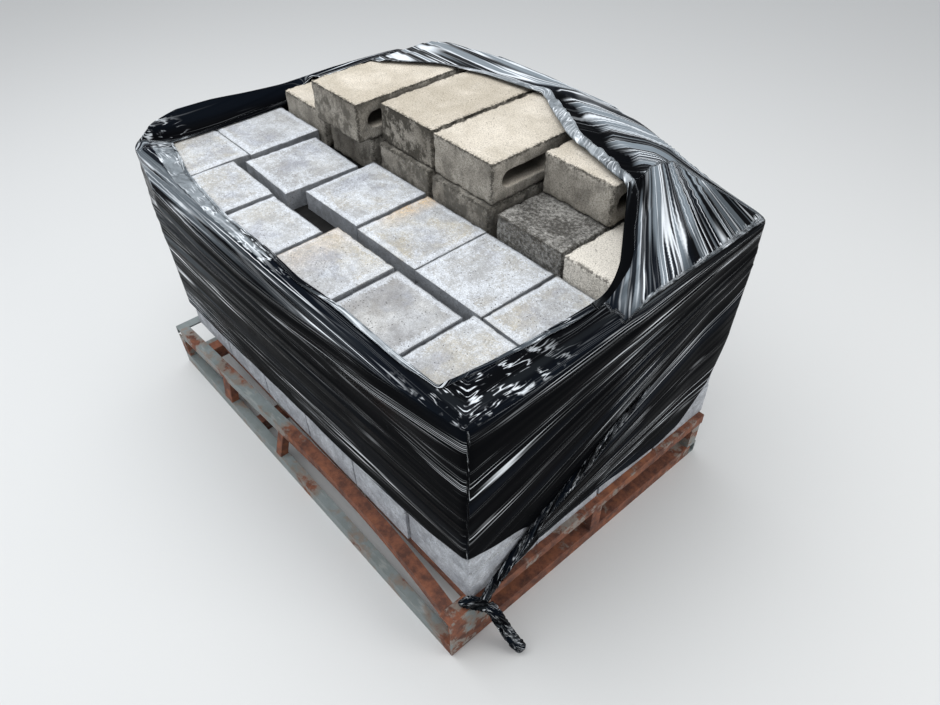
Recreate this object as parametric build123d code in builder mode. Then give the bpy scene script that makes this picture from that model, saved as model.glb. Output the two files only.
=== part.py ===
from build123d import *
import math
import os

# A pallet of concrete pavers, in millimetres. The origin is on the floor under the middle of
# the steel pallet, +X runs along its long side, +Y from the front row to the back, +Z is up.

os.makedirs("parts", exist_ok=True)

# Clearances
REST_GAP = 0.3  # left between pieces that only rest beside each other
WELD_GAP = 0.3  # left at the butt of two welded bars

# Steel pallet
PALLET_LENGTH = 1260.0
PALLET_WIDTH = 880.0
PALLET_HEIGHT = 140.0
STEEL_WALL = 4.0
TOP_RAIL_LEG = 30.0  # both legs of the angle bars along the long sides
BOTTOM_RAIL_HEIGHT = 38.0
BOTTOM_RAIL_FLANGE = 25.0
BOTTOM_RAIL_INSET = 3.0  # the lower long rails stand this far inside the upper ones
LEFT_END_WIDTH = 29.0
LEFT_END_DEPTH = 25.0
LEFT_END_OVERHANG = 3.0
RIGHT_END_WIDTH = 34.0
RIGHT_END_DEPTH = 30.0
BOTTOM_END_WIDTH = 30.0
CROSS_BAR_INSET = 136.0  # from the pallet's left end
CROSS_BAR_WIDTH = 32.0
CROSS_BAR_DEPTH = 39.0
DECK_BAR_WIDTH = 50.0
DECK_BAR_DEPTH = 25.0
FRONT_DECK_BAR_INSET = 31.0  # from the front row's face to the middle of the first deck bar
BOTTOM_CROSS_BAR_INSET = 383.0  # from the pallet's left end
BOTTOM_BAR_WIDTH = 32.0
RUNNER_SPACING = 362.0
POST_WEB = 22.0
END_POST_FLANGE = 33.0
END_POST_WEB = 26.0
MIDDLE_END_POST_Y = 8.0
CORNER_END_POST_INSET = 42.0
CORNER_PLATE_LENGTH = 113.0
CORNER_PLATE_BOTTOM = 15.0

# The front top rail is knocked inwards: straight from the left end, then an arc to the right end
BEND_START = 670.0  # from the pallet's left end
BEND_START_DEPTH = 28.0
BENT_END_DEPTH = 9.0
RAIL_TRIM = 8.0  # swept past the end member, then cut back square to it

# Right edge of each long-side post from the pallet's left end, and the width of its outer flange
LONG_SIDE_POSTS = {"corner": (32.0, 32.0), "left": (292.0, 40.0), "middle": (558.0, 24.0)}

# Pavers
PAVER_SIDE = 200.0
PAVER_THICKNESS = 50.0
BEVEL_WIDTH = 8.0
BEVEL_DEPTH = 4.0
COLUMNS = 6
ROWS = 4
FULL_LAYERS = 10
OPEN_LAYERS = 4  # lower layers that show below the wrap
LOAD_INSET_RIGHT = 16.0  # from the pallet's right end to the stack
LOAD_INSET_FRONT = 64.0
COLUMN_PITCH = 204.2
ROW_PITCH = 207.7
LAYER_DRIFT = 1.2  # how far a layer is laid out of line
CORNER_SET_BACK = 6.0  # the front right pavers stand this far behind their row

# The loose top layer: each paver's centre from the stack's front left corner, and its turn
FRONT_TOP_PAVERS = [
    (68.6, 100.5, 0.0),
    (270.3, 51.7, -1.2),
    (484.1, 45.5, 0.7),
    (692.5, 83.0, 0.5),
    (905.1, 83.6, 0.3),
    (1112.9, 106.0, 0.0),
]
SECOND_TOP_PAVERS = [
    (75.8, 301.5, 0.2),
    (298.9, 271.3, -1.9),
    (513.5, 311.5, 1.0),
    (724.2, 309.6, 0.6),
    (926.6, 310.1, 0.5),
    (1132.8, 311.0, -0.7),
]

# Hollow blocks, laid flat with their cores across
BLOCK_LENGTH = 390.0
BLOCK_WIDTH = 195.0
BLOCK_HEIGHT = 100.0
HALF_BLOCK_LENGTH = 186.0
CORE_LENGTH = 148.0
CORE_HEIGHT = 39.0
CORE_SPACING = 176.0
BLOCK_ARRIS = 3.0

# Middle and front of each block from the stack's front left corner, and how many blocks are under it
BLOCKS = {
    "hollow_block_lower_1": (103.0, 409.0, 0),
    "hollow_block_lower_2": (305.0, 418.0, 0),
    "hollow_block_lower_3": (518.5, 422.0, 0),
    "hollow_block_lower_4": (724.0, 416.0, 0),
    "hollow_block_lower_5": (940.0, 419.0, 0),
    "hollow_block_lower_6": (1137.0, 416.0, 0),
    "hollow_block_upper_left": (305.5, 380.0, 1),
    "hollow_block_upper_middle": (520.0, 433.0, 1),
    "hollow_block_upper_right": (722.5, 428.0, 1),
}
HALF_BLOCK_PLACE = (946.5, 549.0)

# Stretch wrap, in plan from the stack's front left corner and in height above the pallet
FILM_THICKNESS = 2.5
FILM_SLACK = 3.0
FILM_LOWEST = 10.0
BULGE_START_DROP = 80.0  # the bulge round the loose layer starts this far below it
BULGE_END_DROP = 1.0  # and is full this far below it
TENT_TOP_GAP = 0.5
TENT_ROOT = 1.0  # how far the tent reaches down into the wrap round the layers
TENT_HOLLOW_ROOT = 20.0
HOLLOW_RUN_OUT = 1.0  # how far the hollow runs out below the wrap
TOP_WRAP_LEFT = -34.5
TOP_WRAP_RIGHT = 1236.5

# Where the front of the wrap bends, and how far it stands out there round the loose pavers
FRONT_BULGE = {170.0: 56.0, 591.0: 60.0, 1011.0: 22.0}

# The tent over the blocks at three heights: left, right, front and the share of its cut corners
TENT_LEVELS = {
    "pavers": (TOP_WRAP_LEFT, TOP_WRAP_RIGHT, 390.0, 0.1),
    "lower_blocks": (-3.0, 1237.0, 390.0, 0.1),
    "upper_blocks": (203.0, 1046.0, 496.0, 1.0),
}
TENT_LEFT_CUT = (212.0, 51.0)
TENT_RIGHT_CUT = (221.0, 86.0)

# Outlines cut into the wrap: the opening on top, and below the torn edge of each side
FILM_OPENING = [
    (-53, 206), (-6, 82), (136, 34), (392, 17), (708, 10), (800, 31), (918, 19), (1118, 30),
    (1142, 219), (1154, 393), (1190, 406), (1133, 469), (1045, 566), (853, 618), (658, 738),
    (487, 706), (375, 661), (250, 565), (-53, 508),
]
FRONT_EDGE = [(-93, -40), (-93, 72), (632, 109), (1038, 130), (1307, 172), (1307, -40)]
BACK_EDGE = [(-93, -40), (-93, 95), (407, 75), (907, 110), (1167, 240), (1307, 340), (1307, -40)]
LEFT_EDGE = [(-44, -40), (-44, 74), (436, 50), (876, 96), (876, -40)]
RIGHT_EDGE = [
    (-44, -40), (-44, 160), (24, 150), (39, 24), (403, 43), (669, 22), (780, 132), (812, 300),
    (876, 340), (876, -40),
]
EDGE_CUT_REACH = 20.0

# The collar that stands up along the left side: distance from the stack's front, height over the rim
COLLAR = [(-3, -6), (-3, 12), (46, 58), (117, 74), (216, 71), (302, 61), (423, 51), (510, 50), (510, -6)]

# Twisted film rope, its knot and its loose tail, from the pallet's top front right corner
ROPE_RADIUS = 8.0
TAIL_RADIUS = 11.0
KNOT_RADIUS = 12.0
ARC_SHARE = 0.45  # of the shorter run beside a bend, taken up by its arc
TAIL_ROUNDING = 6.6
TAIL_RUN_OUT = 32.0  # straight out of the knot before it droops
KNOT_START = (-24.0, 44.0, 13.0)
KNOT_END = (22.0, 84.0, 13.0)
ROPE_ROUTE = [
    (-2.0, 579.0, 312.0),
    (-2.0, 532.0, 284.0),
    (-2.0, 467.0, 248.0),
    (-2.0, 400.0, 202.0),
    (-2.0, 333.0, 166.0),
    (-2.0, 266.0, 131.0),
    (-2.0, 215.0, 86.0),
    (-1.0, 168.0, 52.0),
    (0.0, 130.0, 27.0),
    (7.4, 92.5, 15.0),
]
TAIL_ROUTE = [
    (63.0, 112.0, -26.0),
    (74.0, 119.0, -76.0),
    (83.0, 124.0, -112.0),
]
TAIL_END = (98.0, 129.0)  # it lies on the floor there

# Sizes worked out from those above
HALF_LENGTH = PALLET_LENGTH / 2
HALF_WIDTH = PALLET_WIDTH / 2
LEFT_END_INNER = -HALF_LENGTH - LEFT_END_OVERHANG + LEFT_END_WIDTH
RIGHT_END_INNER = HALF_LENGTH - RIGHT_END_WIDTH
BOTTOM_RAIL_OUTER = HALF_WIDTH - BOTTOM_RAIL_INSET
BOTTOM_RAIL_INNER = BOTTOM_RAIL_OUTER - BOTTOM_RAIL_FLANGE
POST_TOP = PALLET_HEIGHT - TOP_RAIL_LEG
BEND_X = -HALF_LENGTH + BEND_START
CROSS_BAR_LEFT = -HALF_LENGTH + CROSS_BAR_INSET
BOTTOM_CROSS_BAR_LEFT = -HALF_LENGTH + BOTTOM_CROSS_BAR_INSET
STACK_WIDTH = COLUMN_PITCH * (COLUMNS - 1) + PAVER_SIDE
STACK_DEPTH = ROW_PITCH * (ROWS - 1) + PAVER_SIDE
STACK_RIGHT = HALF_LENGTH - LOAD_INSET_RIGHT
STACK_LEFT = STACK_RIGHT - STACK_WIDTH
STACK_FRONT = -HALF_WIDTH + LOAD_INSET_FRONT
STACK_BACK = STACK_FRONT + STACK_DEPTH
FULL_STACK_TOP = PALLET_HEIGHT + FULL_LAYERS * PAVER_THICKNESS
TOP_PAVER_TOP = FULL_STACK_TOP + PAVER_THICKNESS
LOWER_BLOCK_TOP = FULL_STACK_TOP + BLOCK_HEIGHT
UPPER_BLOCK_TOP = LOWER_BLOCK_TOP + BLOCK_HEIGHT


def save(piece, name):
    """Label a finished piece and write its file."""
    piece.label = name
    export_step(piece, f"parts/{name}.step")


def on_stack(points):
    """Points in plan that are given from the stack's front left corner."""
    return [(STACK_LEFT + x, STACK_FRONT + y) for x, y in points]


def from_corner(x, y, z):
    """A point that is given from the pallet's top front right corner."""
    return Vector(HALF_LENGTH + x, -HALF_WIDTH + y, PALLET_HEIGHT + z)


def along_x(x, y, z):
    """A section plane that faces +X, with its own x towards +Y and its own y up."""
    return Plane(origin=(x, y, z), x_dir=(0, 1, 0), z_dir=(1, 0, 0))


def along_y(x, y, z):
    """A section plane that faces +Y, with its own x towards -X and its own y up."""
    return Plane(origin=(x, y, z), x_dir=(-1, 0, 0), z_dir=(0, 1, 0))


def angle_bar(name, plane, leg_x, leg_y, length):
    """An angle bar: its corner is the plane's origin, and negative legs run the other way."""
    side_x = Align.MIN if leg_x > 0 else Align.MAX
    side_y = Align.MIN if leg_y > 0 else Align.MAX
    with BuildPart() as bar:
        with BuildSketch(plane):
            Rectangle(abs(leg_x), STEEL_WALL, align=(side_x, side_y))
            Rectangle(STEEL_WALL, abs(leg_y), align=(side_x, side_y))
        extrude(amount=length)
    save(bar.part, name)


def side_channel(name, plane, flange, height, length):
    """A channel bar on its side: the web stands at the origin and negative flanges run the other way."""
    side = Align.MIN if flange > 0 else Align.MAX
    hollow_start = math.copysign(STEEL_WALL, flange)
    with BuildPart() as bar:
        with BuildSketch(plane):
            Rectangle(abs(flange), height, align=(side, Align.MIN))
            with Locations((hollow_start, height / 2)):
                Rectangle(abs(flange), height - 2 * STEEL_WALL, align=(side, Align.CENTER), mode=Mode.SUBTRACT)
        extrude(amount=length)
    save(bar.part, name)


def flat_channel(name, plane, width, depth, length):
    """A channel bar with its web on top: the origin is the middle of the web's upper face."""
    with BuildPart() as bar:
        with BuildSketch(plane):
            Rectangle(width, depth, align=(Align.CENTER, Align.MAX))
            with Locations((0, -STEEL_WALL)):
                Rectangle(width - 2 * STEEL_WALL, depth, align=(Align.CENTER, Align.MAX), mode=Mode.SUBTRACT)
        extrude(amount=length)
    save(bar.part, name)


def bent_rail_line():
    """The outer top edge of the bent front rail, as a straight run and a tangent arc."""
    slope = BEND_START_DEPTH / (BEND_X - LEFT_END_INNER)
    start = (LEFT_END_INNER - RAIL_TRIM, -HALF_WIDTH - RAIL_TRIM * slope)
    bend = (BEND_X, -HALF_WIDTH + BEND_START_DEPTH)
    end = (RIGHT_END_INNER, -HALF_WIDTH + BENT_END_DEPTH)
    with BuildLine(Plane.XY.offset(PALLET_HEIGHT)) as line:
        run = Line(start, bend)
        TangentArc(bend, end, tangent=run % 1)
    return line.wire()


def bent_front_rail():
    """The front top rail: an angle section swept along its bent line."""
    path = bent_rail_line()
    section = Plane(origin=path @ 0, x_dir=(0, 1, 0), z_dir=path % 0)
    with BuildPart() as rail:
        with BuildSketch(section):
            Rectangle(TOP_RAIL_LEG, STEEL_WALL, align=(Align.MIN, Align.MAX))
            Rectangle(STEEL_WALL, TOP_RAIL_LEG, align=(Align.MIN, Align.MAX))
        sweep(path=path)
        split(bisect_by=Plane.YZ.offset(RIGHT_END_INNER - WELD_GAP), keep=Keep.BOTTOM)
        split(bisect_by=Plane.YZ.offset(LEFT_END_INNER + WELD_GAP), keep=Keep.TOP)
    save(rail.part, "pallet_front_top_rail")


def rail_depth_at(x):
    """How far the bent front rail stands inside the pallet's outline at x, on its straight run."""
    share = (x - LEFT_END_INNER) / (BEND_X - LEFT_END_INNER)
    return max(share, 0.0) * BEND_START_DEPTH


def top_frame():
    """The upper frame: long rails, end members, the cross bar and the bars under the load."""
    bent_front_rail()
    top_run = RIGHT_END_INNER - LEFT_END_INNER - 2 * WELD_GAP
    back_corner = along_x(LEFT_END_INNER + WELD_GAP, HALF_WIDTH, PALLET_HEIGHT)
    angle_bar("pallet_back_top_rail", back_corner, -TOP_RAIL_LEG, -TOP_RAIL_LEG, top_run)
    left_corner = along_y(-HALF_LENGTH - LEFT_END_OVERHANG, -HALF_WIDTH, PALLET_HEIGHT)
    angle_bar("pallet_left_end_top_bar", left_corner, -LEFT_END_WIDTH, -LEFT_END_DEPTH, PALLET_WIDTH)
    right_corner = along_y(HALF_LENGTH, -HALF_WIDTH, PALLET_HEIGHT)
    angle_bar("pallet_right_end_top_bar", right_corner, RIGHT_END_WIDTH, -RIGHT_END_DEPTH, PALLET_WIDTH)

    cross_x = CROSS_BAR_LEFT + CROSS_BAR_WIDTH / 2
    cross_front = -HALF_WIDTH + rail_depth_at(CROSS_BAR_LEFT + CROSS_BAR_WIDTH) + TOP_RAIL_LEG + WELD_GAP
    cross_back = HALF_WIDTH - TOP_RAIL_LEG - WELD_GAP
    cross_plane = along_y(cross_x, cross_front, PALLET_HEIGHT)
    flat_channel("pallet_cross_bar", cross_plane, CROSS_BAR_WIDTH, CROSS_BAR_DEPTH, cross_back - cross_front)

    deck_start = CROSS_BAR_LEFT + CROSS_BAR_WIDTH + WELD_GAP
    deck_run = RIGHT_END_INNER - WELD_GAP - deck_start
    joint_bars = [STACK_FRONT + row * ROW_PITCH - (ROW_PITCH - PAVER_SIDE) / 2 for row in range(1, ROWS)]
    for number, y in enumerate([STACK_FRONT + FRONT_DECK_BAR_INSET] + joint_bars, start=1):
        deck_plane = along_x(deck_start, y, PALLET_HEIGHT)
        flat_channel(f"pallet_deck_bar_{number}", deck_plane, DECK_BAR_WIDTH, DECK_BAR_DEPTH, deck_run)


def bottom_frame():
    """The lower frame: channels with their webs outside, one cross bar and the runners."""
    height = BOTTOM_RAIL_HEIGHT
    front = along_x(-HALF_LENGTH, -BOTTOM_RAIL_OUTER, 0)
    side_channel("pallet_front_bottom_rail", front, BOTTOM_RAIL_FLANGE, height, PALLET_LENGTH)
    back = along_x(-HALF_LENGTH, BOTTOM_RAIL_OUTER, 0)
    side_channel("pallet_back_bottom_rail", back, -BOTTOM_RAIL_FLANGE, height, PALLET_LENGTH)

    end_start = -BOTTOM_RAIL_INNER + WELD_GAP
    end_run = 2 * (BOTTOM_RAIL_INNER - WELD_GAP)
    left = along_y(-HALF_LENGTH, end_start, 0)
    side_channel("pallet_left_end_bottom_rail", left, -BOTTOM_END_WIDTH, height, end_run)
    right = along_y(HALF_LENGTH, end_start, 0)
    side_channel("pallet_right_end_bottom_rail", right, BOTTOM_END_WIDTH, height, end_run)

    cross_x = BOTTOM_CROSS_BAR_LEFT + BOTTOM_BAR_WIDTH / 2
    flat_channel("pallet_bottom_cross_bar", along_y(cross_x, end_start, height), BOTTOM_BAR_WIDTH, height, end_run)

    end_inner = HALF_LENGTH - BOTTOM_END_WIDTH - WELD_GAP
    runs = {
        "left": (-end_inner, BOTTOM_CROSS_BAR_LEFT - WELD_GAP),
        "right": (BOTTOM_CROSS_BAR_LEFT + BOTTOM_BAR_WIDTH + WELD_GAP, end_inner),
    }
    for side, y in {"front": -RUNNER_SPACING / 2, "back": RUNNER_SPACING / 2}.items():
        for part_of_run, (start, end) in runs.items():
            plane = along_x(start, y, height)
            flat_channel(f"pallet_{side}_runner_{part_of_run}", plane, BOTTOM_BAR_WIDTH, height, end - start)


def long_side_post(name, right_x, flange, outer_y, inward, lean):
    """An angle post of a long side: a flange along the rail and a web inwards, leaning by lean."""
    rise = POST_TOP - BOTTOM_RAIL_HEIGHT
    toward_load = Align.MIN if inward > 0 else Align.MAX
    with BuildPart() as post:
        with BuildSketch(Plane.XY.offset(BOTTOM_RAIL_HEIGHT)):
            with Locations((right_x, outer_y)):
                Rectangle(flange, STEEL_WALL, align=(Align.MAX, toward_load))
                Rectangle(STEEL_WALL, POST_WEB, align=(Align.MAX, toward_load))
        extrude(amount=math.hypot(rise, lean), dir=(0, inward * lean, rise))
    save(post.part, name)


def end_post(name, outer_x, front_y, inward, member_depth):
    """An angle post of a short side, up to the end member: its flange lies along the end rail."""
    toward_load = Align.MIN if inward > 0 else Align.MAX
    with BuildPart() as post:
        with BuildSketch(Plane.XY.offset(BOTTOM_RAIL_HEIGHT)):
            with Locations((outer_x, front_y)):
                Rectangle(STEEL_WALL, END_POST_FLANGE, align=(toward_load, Align.MIN))
                Rectangle(END_POST_WEB, STEEL_WALL, align=(toward_load, Align.MIN))
        extrude(amount=PALLET_HEIGHT - member_depth - BOTTOM_RAIL_HEIGHT)
    save(post.part, name)


def posts():
    """The uprights between the two frames, and the plate that boxes in the front corner."""
    for place, (inset, flange) in LONG_SIDE_POSTS.items():
        right_x = -HALF_LENGTH + inset
        lean = rail_depth_at(right_x) - BOTTOM_RAIL_INSET
        long_side_post(f"pallet_front_{place}_post", right_x, flange, -BOTTOM_RAIL_OUTER, 1, lean)
        long_side_post(f"pallet_back_{place}_post", right_x, flange, BOTTOM_RAIL_OUTER, -1, -BOTTOM_RAIL_INSET)

    end_post("pallet_left_end_middle_post", -HALF_LENGTH, MIDDLE_END_POST_Y, 1, LEFT_END_DEPTH)
    end_post("pallet_right_end_middle_post", HALF_LENGTH, MIDDLE_END_POST_Y, -1, RIGHT_END_DEPTH)
    corner_y = HALF_WIDTH - CORNER_END_POST_INSET
    end_post("pallet_right_back_corner_post", HALF_LENGTH, corner_y, -1, RIGHT_END_DEPTH)

    with BuildPart() as plate:
        with BuildSketch(along_x(HALF_LENGTH, -HALF_WIDTH, CORNER_PLATE_BOTTOM)):
            plate_height = PALLET_HEIGHT - CORNER_PLATE_BOTTOM
            Rectangle(CORNER_PLATE_LENGTH, plate_height, align=(Align.MIN, Align.MIN))
        extrude(amount=STEEL_WALL)
    save(plate.part, "pallet_front_corner_plate")


def pavers(name, bottom, places):
    """One node of bevelled pavers that lie side by side on the same level."""
    bevel_angle = math.degrees(math.atan2(BEVEL_WIDTH, BEVEL_DEPTH))
    spots = [Location((x, y), turn) for x, y, turn in places]
    with BuildPart() as layer:
        with BuildSketch(Plane.XY.offset(bottom)):
            with Locations(spots):
                Rectangle(PAVER_SIDE, PAVER_SIDE)
        extrude(amount=PAVER_THICKNESS - BEVEL_DEPTH)
        with BuildSketch(Plane.XY.offset(bottom + PAVER_THICKNESS - BEVEL_DEPTH)):
            with Locations(spots):
                Rectangle(PAVER_SIDE, PAVER_SIDE)
        extrude(amount=BEVEL_DEPTH, taper=bevel_angle)
    save(layer.part, name)


def ring_places(layer):
    """Centres of the pavers round the outside of a full layer, a little out of line."""
    drift_x = LAYER_DRIFT * math.sin(2.1 * layer)
    drift_y = LAYER_DRIFT * math.cos(1.7 * layer)
    first_x = STACK_LEFT + PAVER_SIDE / 2 + drift_x
    first_y = STACK_FRONT + PAVER_SIDE / 2 + drift_y
    places = []
    for column in range(COLUMNS):
        for row in range(ROWS):
            if column in (0, COLUMNS - 1) or row in (0, ROWS - 1):
                set_back = CORNER_SET_BACK if (column, row) == (COLUMNS - 1, 0) else 0.0
                places.append((first_x + column * COLUMN_PITCH, first_y + row * ROW_PITCH + set_back, 0.0))
    return places


def paver_stack():
    """The lower layers that show, the plain core that stands in for the hidden ones, and the top."""
    for layer in range(OPEN_LAYERS):
        pavers(f"paver_layer_{layer + 1}", PALLET_HEIGHT + layer * PAVER_THICKNESS, ring_places(layer))

    open_top = PALLET_HEIGHT + OPEN_LAYERS * PAVER_THICKNESS
    middle_x = (STACK_LEFT + STACK_RIGHT) / 2
    middle_y = (STACK_FRONT + STACK_BACK) / 2
    inner_width = STACK_WIDTH - 2 * COLUMN_PITCH
    inner_depth = STACK_DEPTH - 2 * ROW_PITCH
    with BuildPart() as core:
        with BuildSketch(Plane.XY.offset(PALLET_HEIGHT)):
            with Locations((middle_x, middle_y)):
                Rectangle(inner_width, inner_depth)
        extrude(amount=open_top - PALLET_HEIGHT)
        with BuildSketch(Plane.XY.offset(open_top)):
            with Locations((middle_x, middle_y)):
                Rectangle(STACK_WIDTH, STACK_DEPTH)
        extrude(amount=FULL_STACK_TOP - open_top)
    save(core.part, "paver_stack_core")

    for name, row in (("front", FRONT_TOP_PAVERS), ("second", SECOND_TOP_PAVERS)):
        places = [(STACK_LEFT + x, STACK_FRONT + y, turn) for x, y, turn in row]
        pavers(f"top_pavers_{name}_row", FULL_STACK_TOP, places)


def hollow_block(name, place, bottom, length, core_count):
    """A concrete block lying flat, with round-ended cores right across its width."""
    middle_x = STACK_LEFT + place[0]
    middle_y = STACK_FRONT + place[1] + length / 2
    with BuildPart() as block:
        with Locations((middle_x, middle_y, bottom + BLOCK_HEIGHT / 2)):
            Box(BLOCK_WIDTH, length, BLOCK_HEIGHT)
        chamfer(block.edges().filter_by(Axis.Z), BLOCK_ARRIS)
        with BuildSketch(along_x(middle_x, middle_y, bottom + BLOCK_HEIGHT / 2)):
            with GridLocations(CORE_SPACING, 0, core_count, 1):
                SlotOverall(CORE_LENGTH, CORE_HEIGHT)
        extrude(amount=BLOCK_WIDTH, both=True, mode=Mode.SUBTRACT)
    save(block.part, name)


def blocks():
    """Two layers of hollow blocks on the back of the stack, and the half block on top."""
    for name, (middle, front, blocks_under) in BLOCKS.items():
        bottom = FULL_STACK_TOP + blocks_under * BLOCK_HEIGHT
        hollow_block(name, (middle, front), bottom, BLOCK_LENGTH, 2)
    hollow_block("half_block", HALF_BLOCK_PLACE, LOWER_BLOCK_TOP, HALF_BLOCK_LENGTH, 1)


def wrap_outline(level, grow):
    """The wrap's outline in plan: close round the full layers, or bulged round the loose top one."""
    back = STACK_DEPTH + FILM_SLACK + grow
    front = -FILM_SLACK - grow
    left, right, bulge = -FILM_SLACK - grow, STACK_WIDTH + FILM_SLACK + grow, 0
    if level == "top_layer":
        left, right, bulge = TOP_WRAP_LEFT - grow, TOP_WRAP_RIGHT + grow, 1
    bends = [(x, front - bulge * depth) for x, depth in FRONT_BULGE.items()]
    return on_stack([(left, front)] + bends + [(right, front), (right, back), (left, back)])


def tent_outline(level, grow):
    """The wrap's outline in plan over the blocks, with its two back corners cut off."""
    left, right, front, corner_share = TENT_LEVELS[level]
    left, right = left - grow, right + grow
    back = STACK_DEPTH + FILM_SLACK + grow
    left_cut = [side * corner_share for side in TENT_LEFT_CUT]
    right_cut = [side * corner_share for side in TENT_RIGHT_CUT]
    return on_stack([
        (left, front),
        (right, front),
        (right, back - right_cut[1]),
        (right - right_cut[0], back),
        (left + left_cut[0], back),
        (left, back - left_cut[1]),
    ])


def flat_sided(sections):
    """A solid of flat facets from outline to outline, given as pairs of height and points."""
    rings = [[(x, y, height) for x, y in points] for height, points in sections]
    outlines = [rings[0], rings[-1]]
    for lower, upper in zip(rings, rings[1:]):
        for index in range(len(lower)):
            outlines.append([lower[index - 1], lower[index], upper[index]])
            outlines.append([lower[index - 1], upper[index], upper[index - 1]])
    return Solid(Shell([Face(Wire.make_polygon(outline)) for outline in outlines]))


def wrap_form(grow, bottom, tent_root, rise):
    """The whole wrapped form as a solid: the wrapped stack with the tent over the blocks."""
    stack = flat_sided([
        (bottom, wrap_outline("full_layers", grow)),
        (FULL_STACK_TOP - BULGE_START_DROP, wrap_outline("full_layers", grow)),
        (FULL_STACK_TOP - BULGE_END_DROP, wrap_outline("top_layer", grow)),
        (TOP_PAVER_TOP + rise, wrap_outline("top_layer", grow)),
    ])
    tent = flat_sided([
        (TOP_PAVER_TOP - tent_root, tent_outline("pavers", grow)),
        (LOWER_BLOCK_TOP + rise, tent_outline("lower_blocks", grow)),
        (UPPER_BLOCK_TOP + rise, tent_outline("upper_blocks", grow)),
    ])
    return stack + tent


def stretch_film():
    """The wrap: a thin skin round the stack, open over the front rows, with a torn lower edge."""
    lowest = PALLET_HEIGHT + FILM_LOWEST
    outer = wrap_form(FILM_THICKNESS, lowest, TENT_ROOT, TENT_TOP_GAP + FILM_THICKNESS)
    inner = wrap_form(0, lowest - HOLLOW_RUN_OUT, TENT_HOLLOW_ROOT, TENT_TOP_GAP)
    half_reach = EDGE_CUT_REACH / 2
    torn_sides = [
        (Plane.XZ.offset(-STACK_FRONT - half_reach), STACK_LEFT, FRONT_EDGE),
        (Plane.XZ.offset(-STACK_BACK - half_reach), STACK_LEFT, BACK_EDGE),
        (Plane.YZ.offset(STACK_LEFT - half_reach), STACK_FRONT, LEFT_EDGE),
        (Plane.YZ.offset(STACK_RIGHT - half_reach), STACK_FRONT, RIGHT_EDGE),
    ]
    collar = [(STACK_FRONT + y, TOP_PAVER_TOP + z) for y, z in COLLAR]
    with BuildPart() as film:
        add(outer)
        add(inner, mode=Mode.SUBTRACT)
        with BuildSketch(Plane.XY.offset(TOP_PAVER_TOP)):
            Polygon(*on_stack(FILM_OPENING), align=None)
        extrude(amount=2 * BLOCK_HEIGHT, mode=Mode.SUBTRACT)
        for plane, start, edge in torn_sides:
            with BuildSketch(plane):
                Polygon(*[(start + along, PALLET_HEIGHT + up) for along, up in edge], align=None)
            extrude(amount=EDGE_CUT_REACH, mode=Mode.SUBTRACT)
        with BuildSketch(Plane.YZ.offset(STACK_LEFT + TOP_WRAP_LEFT - FILM_THICKNESS)):
            Polygon(*collar, align=None)
        extrude(amount=FILM_THICKNESS)
    save(film.part, "stretch_film")


def corner_radii(route):
    """The largest arc that each corner's two runs allow."""
    radii = []
    for before, corner, after in zip(route, route[1:], route[2:]):
        first = Vector(corner) - Vector(before)
        second = Vector(after) - Vector(corner)
        half_turn = math.radians(first.get_angle(second)) / 2
        radii.append(ARC_SHARE * min(first.length, second.length) / math.tan(half_turn))
    return radii


def film_cord(name, route, radius, end_rounding):
    """A round cord of twisted film along a route of straight runs and tangent arcs."""
    radii = corner_radii(route)
    print(name, "arc radii", [round(value) for value in radii])
    with BuildPart() as cord:
        with BuildLine() as path:
            FilletPolyline(*route, radius=radii)
        with BuildSketch(Plane(origin=path.wire() @ 0, z_dir=path.wire() % 0)):
            Circle(radius)
        sweep(path=path.wire())
        if end_rounding:
            fillet(cord.edges().sort_by(Axis.X)[-1], end_rounding)
    save(cord.part, name)


def knot():
    """The knot that ties the rope round the corner: a barrel that lies on the end member."""
    start = from_corner(*KNOT_START)
    axis = from_corner(*KNOT_END) - start
    up = Vector(0, 0, 1)
    with BuildPart() as barrel:
        with BuildSketch(Plane(origin=start, x_dir=axis, z_dir=up.cross(axis))):
            with BuildLine():
                Polyline((0, ROPE_RADIUS), (0, 0), (axis.length, 0), (axis.length, TAIL_RADIUS))
                ThreePointArc((0, ROPE_RADIUS), (axis.length / 2, KNOT_RADIUS), (axis.length, TAIL_RADIUS))
            make_face()
        revolve(axis=Axis(start, axis))
    save(barrel.part, "film_knot")


def film_tie():
    """The rope, the knot and the tail that leaves the knot's end along its axis."""
    film_cord("film_rope", [from_corner(*place) for place in ROPE_ROUTE], ROPE_RADIUS, 0)
    knot()
    knot_end = from_corner(*KNOT_END)
    axis = (knot_end - from_corner(*KNOT_START)).normalized()
    droop = [from_corner(*place) for place in TAIL_ROUTE]
    tail_end = Vector(HALF_LENGTH + TAIL_END[0], -HALF_WIDTH + TAIL_END[1], TAIL_RADIUS + REST_GAP)
    route = [knot_end + axis * REST_GAP, knot_end + axis * TAIL_RUN_OUT] + droop + [tail_end]
    film_cord("film_tail", route, TAIL_RADIUS, TAIL_ROUNDING)


top_frame()
bottom_frame()
posts()
paver_stack()
blocks()
stretch_film()
film_tie()
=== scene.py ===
import math

import bmesh
import bpy
from mathutils import Matrix, Vector, noise


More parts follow.
